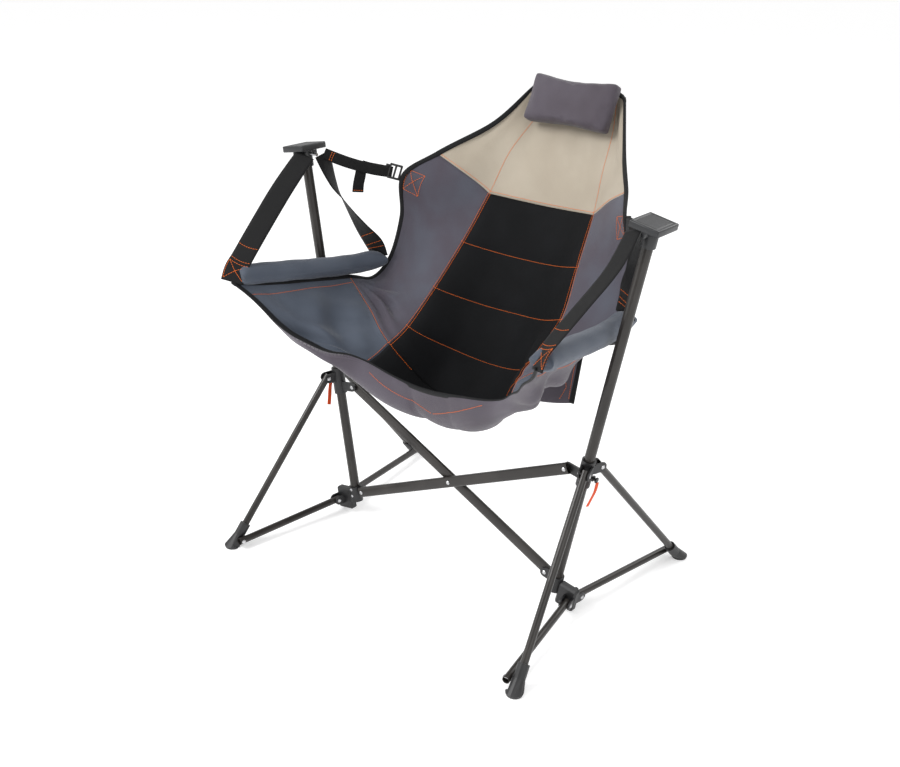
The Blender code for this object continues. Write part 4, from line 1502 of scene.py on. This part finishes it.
    def build(self) -> None:
        """Makes the side's straps."""
        label = self.side.label
        front, rear = self.front(), self.rear()
        self.add(f"front_webbing_{label}", front, f"strap_front_{label}")
        self.add(f"rear_webbing_{label}", rear, f"strap_rear_{label}")
        self.sew_front(front)
        self.sew_rear(rear)
        self.recline()
        hang(self.seamstress.finish(f"strap_stitching_{label}"), "pull")


# ------------------------------------------------------------------ padding
@dataclass
class ArmPad:
    """The padded sleeve along one arm, pinched flat at both ends where the straps are sewn to it."""

    finishes: Finishes
    side: Side
    spokes: int = 32
    radius: float = 0.0240

    ROUTE = (
        (0.3870, -0.2530, 0.6600),
        (0.3800, -0.2050, 0.6545),
        (0.3680, -0.1200, 0.6430),
        (0.3560, -0.0300, 0.6300),
        (0.3430, 0.0500, 0.6220),
        (0.3280, 0.1320, 0.6200),
    )

    def build(self) -> None:
        """Makes the pad."""
        middle = hung_low(np.array([tuple(self.side.at(p)) for p in smooth_route(list(self.ROUTE), 18)]))
        share = np.linspace(0, 1, len(middle))
        ahead = unit(np.gradient(middle, axis=0))
        up = unit(np.array([0, 0, 1.0]) - ahead * ahead[:, 2:3])
        out = unit(np.cross(ahead, up))
        spokes = np.linspace(0, 2 * np.pi, self.spokes, endpoint=False)
        pinch = np.clip(np.minimum(share, 1 - share) / 0.11, 0, 1)
        pinch = np.sin(pinch * np.pi / 2)
        tall = self.radius * (0.52 + 0.48 * pinch)
        wide = self.radius * (0.98 - 0.06 * pinch)
        points = []
        for i, centre in enumerate(middle):
            c, s = np.cos(spokes), np.sin(spokes)
            wrinkle = 0.0005 * np.sin(share[i] * 38 + 2.0 * np.sin(spokes)) * np.sin(spokes * 2 + 1)
            wrinkle += 0.0004 * (1 - pinch[i]) * np.sin(spokes * 5)
            lower = np.where(s < 0, 1.0 - 0.14 * np.abs(s) ** 2, 1.0)
            outward, upward = c * (wide[i] + wrinkle), s * lower * (tall[i] + wrinkle)
            points.append(centre + out[i] * outward[:, None] + up[i] * upward[:, None])
        name = f"arm_sleeve_{self.side.label}"
        mesh = tube_mesh(name, np.array(points), lengths_along(middle), 2 * np.pi * self.radius)
        piece = put_in_scene(name, mesh, self.finishes.wing)
        hang(piece, "arm_fabric", f"arm_pad_{self.side.label}")


@dataclass
class HeadPillow:
    """The boxed head pillow: a filled box with a sewn gusset."""

    finishes: Finishes
    size: tuple = (0.214, 0.108, 0.033)
    centre: Vector = field(default_factory=lambda: Vector((0, 0.3880, 0.9800)))
    tilt: float = math.radians(25)
    voxel: float = 0.0055
    most_swell: float = 0.006

    def build(self) -> None:
        """Makes the pillow and inflates it."""
        x, z, y = (s / 2 for s in self.size)
        pillow = begin_primitive("cube", size=1, scale=(2 * x, 2 * y, 2 * z))
        bpy.ops.object.mode_set(mode="EDIT")
        bpy.ops.mesh.select_all(action="SELECT")
        bpy.ops.mesh.subdivide(number_cuts=5)
        leave_edit()
        apply_bevel(pillow, 0.007, 3)
        remesh = pillow.modifiers.new("even", "REMESH")
        remesh.mode = "VOXEL"
        remesh.voxel_size = self.voxel
        bpy.ops.object.modifier_apply(modifier=remesh.name)
        self.inflate(pillow)
        smooth = pillow.modifiers.new("smooth", "SUBSURF")
        smooth.levels = smooth.render_levels = 1
        bpy.ops.object.modifier_apply(modifier=smooth.name)
        self.sag(pillow)
        pillow.name = pillow.data.name = "pillow"
        place = Matrix.Translation(self.centre) @ Matrix.Rotation(-self.tilt, 4, "X")
        settle(pillow, place, self.finishes.pillow)
        hang(pillow, "pillow_fabric", "head_pillow")

    def inflate(self, pillow: bpy.types.Object) -> None:
        """Fills the pillow by a short cloth simulation, with no point moving further than its cap.

        Args:
            pillow: the pillow.
        """
        before = np.array([tuple(v.co) for v in pillow.data.vertices])
        cloth = pillow.modifiers.new("fill", "CLOTH")
        cloth.settings.use_pressure = True
        cloth.settings.uniform_pressure_force = 4.0
        cloth.settings.effector_weights.gravity = 0.0
        cloth.settings.tension_stiffness = 25
        cloth.settings.bending_stiffness = 1.2
        scene = bpy.context.scene
        for frame in range(1, 16):
            scene.frame_set(frame)
        graph = bpy.context.evaluated_depsgraph_get()
        after = np.array([tuple(v.co) for v in pillow.evaluated_get(graph).data.vertices])
        pillow.modifiers.remove(cloth)
        scene.frame_set(1)
        move = after - before
        far = np.linalg.norm(move, axis=1, keepdims=True)
        move *= np.minimum(1, self.most_swell / np.maximum(far, 1e-9))
        for vertex, step in zip(pillow.data.vertices, move):
            vertex.co += Vector(step)

    def sag(self, pillow: bpy.types.Object) -> None:
        """Presses in the middle of the lower edge and creases the corners.

        Args:
            pillow: the pillow.
        """
        x, z = self.size[0] / 2, self.size[1] / 2
        for vertex in pillow.data.vertices:
            u, v = vertex.co.x / x, vertex.co.z / z
            front = 1.0 if vertex.co.y < 0 else 0.3
            dent = 0.0030 * math.exp(-((u / 0.35) ** 2) - ((v + 0.55) / 0.35) ** 2)
            crease = 0.0009 * math.sin(u * 17 + 4 * v) * min(1.0, u * u + v * v)
            vertex.co.y += front * (dent + crease)
            vertex.co.z -= 0.003 * (1 - u * u) * (1 if v > 0 else 0.3)


@dataclass
class RearPouch:
    """The flat pouch behind the lower back: a bound fabric bag that bellies out and falls in pleats."""

    finishes: Finishes
    seamstress: Seamstress
    half_width: float = 0.154
    half_height: float = 0.128
    centre: Vector = field(default_factory=lambda: Vector((0, 0.262, 0.500)))
    tilt: float = math.radians(-12)

    def place(self) -> Matrix:
        """The pouch's own frame in the world."""
        return Matrix.Translation(self.centre) @ Matrix.Rotation(self.tilt, 4, "X")

    def height(self, u: np.ndarray, v: np.ndarray) -> np.ndarray:
        """How high the cloth lies at these shares: its lower edge sags between its corners."""
        low = np.clip(0.5 - v / 2, 0, 1)
        return v * self.half_height - low * (0.020 + 0.026 * (1 - u**2))

    def depth(self, u: np.ndarray, v: np.ndarray) -> np.ndarray:
        """How far the cloth stands behind the pouch's middle plane.

        Args:
            u: shares of its half width.
            v: shares of its half height.

        Returns:
            The distances in metres.
        """
        belly = 0.019 * (1 - u**2) ** 0.5 * (1 - v**2) ** 0.5 * (1.15 - 0.3 * v)
        pleats = 0.0042 * np.sin(u * 22 + 1.4 * v) * np.exp(-((v + 0.35) ** 2) / 0.5) * (1 - u**8)
        return belly + pleats * (1 - v**4)

    def build(self) -> None:
        """Makes the bag, its binding and its sewing."""
        u, v = np.meshgrid(np.linspace(-1, 1, 97), np.linspace(-1, 1, 73))
        x, z = u * self.half_width, self.height(u, v)
        back = self.depth(u, v)
        front = -0.35 * back
        turn = np.array(self.place().to_3x3())
        move = np.array(self.place().translation)
        # rows run up the pouch, so its face towards -Y comes first
        top = np.stack([x, front - 0.0008, z], -1) @ turn.T + move
        bottom = np.stack([x, back + 0.0008, z], -1) @ turn.T + move
        mesh = slab_mesh("pouch", top, bottom, np.stack([x, z], -1))
        bag = put_in_scene("pouch", mesh, self.finishes.grey_purple)
        hang(bag, "sling", "rear_pouch")
        self.bind()
        share = np.linspace(0, 1, 40)
        for way in (-1, 1):
            lines = (
                (np.full_like(share, way * 0.95), 1.86 * share - 0.93),
                (way * (0.80 + 0.08 * share), -0.45 - 0.28 * share),
                (way * (0.80 + 0.08 * (1 - share)), -0.73 - 0.2 * share),
            )
            for across, along in lines:
                self.sew(across, along, turn, move)
        self.sew(1.9 * share - 0.95, np.full_like(share, 0.92), turn, move)
        hang(self.seamstress.finish("pouch_stitching"), "pull")

    def sew(self, u: np.ndarray, v: np.ndarray, turn: np.ndarray, move: np.ndarray) -> None:
        """Sews a line on the pouch's rear face and its front face.

        Args:
            u: shares of its half width.
            v: shares of its half height.
            turn: the pouch's turn in the world.
            move: its place.
        """
        x, z = u * self.half_width, self.height(u, v)
        depth = self.depth(u, v)
        for y, way in ((depth + 0.0010, 1.0), (-0.35 * depth - 0.0010, -1.0)):
            route = np.stack([x, y, z], -1) @ turn.T + move
            normals = np.broadcast_to(np.array([0, way, 0]) @ turn.T, route.shape)
            self.seamstress.sew(route, normals)

    def bind(self) -> None:
        """Binding tape down both sides and along the mouth."""
        w, h = self.half_width, self.half_height
        low = -h - 0.020
        place = self.place()
        edges = {"left": (-w, low, -w, h), "right": (w, low, w, h), "mouth": (-w, h, w, h)}
        for name, (x0, z0, x1, z1) in edges.items():
            run = np.linspace(0, 1, 5)
            route = [place @ Vector((x0 + (x1 - x0) * t, 0.0, z0 + (z1 - z0) * t)) for t in run]
            across = Vector((1, 0, 0)) if name != "mouth" else Vector((0, 0, 1))
            turns = [place.to_3x3() @ across] * len(route)
            tape = Ribbon(route, turns, [0.013] * len(route), 0.0050, 10)
            piece = put_in_scene(f"pouch_binding_{name}", tape.mesh(f"pouch_binding_{name}"), self.finishes.binding)
            hang(piece, "webbing", "rear_pouch")


# ------------------------------------------------------------------ the frame
@dataclass
class PostCap:
    """The moulded cap on a post: a rounded plate over a sleeve, with a slot's bridge for the webbing."""

    finishes: Finishes
    side: Side
    plate: tuple = (0.062, 0.074, 0.0135)

    def build(self) -> None:
        """Makes the cap."""
        top = POST_LENGTH + 0.0004
        plate = begin_primitive("cube", size=1, location=(0, 0, top + self.plate[2] / 2), scale=self.plate)
        edit_faces(plate, Vector((0, 0, 1)))
        bpy.ops.mesh.inset(thickness=0.005, depth=0)
        bpy.ops.mesh.inset(thickness=0.003, depth=-0.0012)
        bpy.ops.mesh.inset(thickness=0.002, depth=0.0010)
        leave_edit()
        apply_bevel(plate, 0.0026, 3)
        sleeve = begin_primitive("cylinder", vertices=40, radius=0.0150, depth=0.036, location=(0, 0, top - 0.0178))
        edit_faces(sleeve, Vector((0, 0, -1)))
        bpy.ops.mesh.inset(thickness=0.0036, depth=0)
        bpy.ops.mesh.extrude_region_move(TRANSFORM_OT_translate={"value": (0, 0, 0.030)})
        leave_edit()
        apply_bevel(sleeve, 0.0008, 2)
        ribs = [rounded_box((0, y, top - 0.006), (0.008, 0.024, 0.012), 0.0015, 2) for y in (-0.021, 0.021)]
        label = self.side.label
        cap = joined([plate, sleeve, *ribs], f"cap_{label}")
        settle(cap, post_place(self.side), self.finishes.cap)
        ride_on(cap, f"post_{label}", "plastic", f"post_cap_{label}")


@dataclass
class FrameDressing:
    """Finishes for the steel frame's own nodes, and the small fixings added to it."""

    finishes: Finishes
    frame: dict

    def dress(self) -> None:
        """Gives every CAD node of the frame its finish."""
        chosen = (
            (("rivet", "cross_rivet", "hanger"), self.finishes.rivet),
            (("collar", "base_hub", "foot", "lock_pin"), self.finishes.plastic),
            (("post_cap",), self.finishes.cap),
            (("pull_tab",), self.finishes.pull),
            (("post_", "leg_", "strut_front", "strut_rear", "cross_bar"), self.finishes.steel),
        )
        for name, node in self.frame["nodes"].items():
            for starts, material in chosen:
                if name.startswith(starts):
                    if not node.data.materials:
                        node.data.materials.append(material)
                    for slot in node.material_slots:
                        slot.material = material
                    break

    def rivet_head(self, name: str, spot: Vector, axis: Vector, body: str, radius: float = 0.0042) -> None:
        """A domed rivet head standing on a surface.

        Args:
            name: the piece's name.
            spot: the middle of its foot.
            axis: the way it faces.
            body: the body that it rides on.
            radius: of the head.
        """
        head = begin_primitive("uv_sphere", segments=20, ring_count=10, radius=radius)
        head.data.transform(Matrix.Diagonal((1, 1, 0.42, 1)))
        settle(head, frame_along(spot, axis, Vector((0.3, 0.2, 1))), self.finishes.rivet)
        head.name = head.data.name = name
        ride_on(head, body, "rivet")

    def base_rivets(self) -> None:
        """The rivets through each post and its base hub, front and back."""
        for side in Side:
            place = post_place(side)
            for n, w in enumerate((0.004, 0.020)):
                for face, y in (("front", -1), ("rear", 1)):
                    spot = place @ Vector((0, y * 0.0148, w))
                    name = f"base_rivet_{face}_{n}_{side.label}"
                    self.rivet_head(name, spot, Vector((0, y, 0)), f"post_{side.label}", 0.0034)

    def build(self) -> None:
        """Dresses the frame and adds its fixings."""
        self.dress()
        self.base_rivets()
        for side in Side:
            PostCap(self.finishes, side).build()


# ------------------------------------------------------------------ studio
@dataclass
class Studio:
    """The camera, a pale floor and soft light."""

    camera_at: Vector = field(default_factory=lambda: CHAIR_PLACE @ Vector((1.408, -1.795, 1.446)))
    azimuth: float = math.radians(38.34)
    drop: float = math.radians(23.94)
    roll: float = math.radians(1.6)
    lens: float = 46.5
    sky: float = 0.74
    floor_glow: float = 0.32

    def camera(self) -> None:
        """Sets the camera."""
        data = bpy.data.cameras.new("camera")
        data.lens = self.lens
        data.sensor_width = 36.0
        camera = bpy.data.objects.new("camera", data)
        bpy.context.scene.collection.objects.link(camera)
        flat = math.cos(self.drop)
        ahead = Vector((-math.sin(self.azimuth) * flat, math.cos(self.azimuth) * flat, -math.sin(self.drop)))
        level = ahead.cross(Vector((0, 0, 1))).normalized()
        upright = level.cross(ahead)
        turn, keep = math.sin(self.roll), math.cos(self.roll)
        right, up = level * keep + upright * turn, upright * keep - level * turn
        frame = Matrix((right, up, -ahead)).transposed().to_4x4()
        frame.translation = self.camera_at
        camera.matrix_world = frame
        bpy.context.scene.camera = camera

    def floor(self) -> None:
        """A large pale floor."""
        floor = begin_primitive("plane", size=40)
        floor.name = "floor"
        w = Wiring("pale_floor", 0.9)
        w.finish(Tone(0.90, 0.90, 0.90))
        w.shader.inputs["Emission Color"].default_value = (1, 1, 1, 1)
        w.shader.inputs["Emission Strength"].default_value = self.floor_glow
        floor.data.materials.append(w.material)

    def area(self, name: str, spot: tuple, target: tuple, size: float, power: float) -> None:
        """A soft square light aimed at a target.

        Args:
            name: the light's name.
            spot: where it stands.
            target: what it is aimed at.
            size: its side.
            power: in watts.
        """
        data = bpy.data.lights.new(name, "AREA")
        data.size = size
        data.energy = power
        light = bpy.data.objects.new(name, data)
        bpy.context.scene.collection.objects.link(light)
        way = Vector(spot) - Vector(target)
        light.matrix_world = frame_along(Vector(spot), way, Vector((1, 0, 0)))

    def light(self) -> None:
        """Lights the scene evenly, a little stronger from the left front."""
        world = bpy.data.worlds.new("studio")
        world.use_nodes = True
        sky = world.node_tree.nodes["Background"]
        sky.inputs["Color"].default_value = (1, 1, 1, 1)
        sky.inputs["Strength"].default_value = self.sky
        bpy.context.scene.world = world
        self.area("key", (-1.6, -2.6, 3.0), (0, 0, 0.5), 1.7, 105.0)
        self.area("fill", (3.0, -1.2, 2.2), (0, 0, 0.5), 2.0, 26.0)
        self.area("rim", (0.5, 2.8, 2.6), (0, 0.2, 0.7), 1.8, 30.0)

    def build(self) -> None:
        """Sets up camera, floor and light."""
        self.camera()
        self.floor()
        self.light()
        bpy.context.scene.view_settings.view_transform = "Standard"


def main() -> None:
    """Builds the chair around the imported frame."""
    logging.basicConfig(level=logging.INFO, format="%(name)s %(message)s")
    for thing in list(bpy.data.objects):
        bpy.data.objects.remove(thing, do_unlink=True)
    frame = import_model()
    Studio().build()
    finishes = Finishes()
    FrameDressing(finishes, frame).build()
    surface = SlingSurface()
    seamstress = Seamstress(finishes.thread)
    sling = Sling(finishes, surface)
    sling.build()
    sling.sew(seamstress)
    for side in Side:
        ArmPad(finishes, side).build()
        SideStraps(finishes, seamstress, side).build()
    HeadPillow(finishes).build()
    RearPouch(finishes, seamstress).build()


if __name__ == "__main__":
    main()
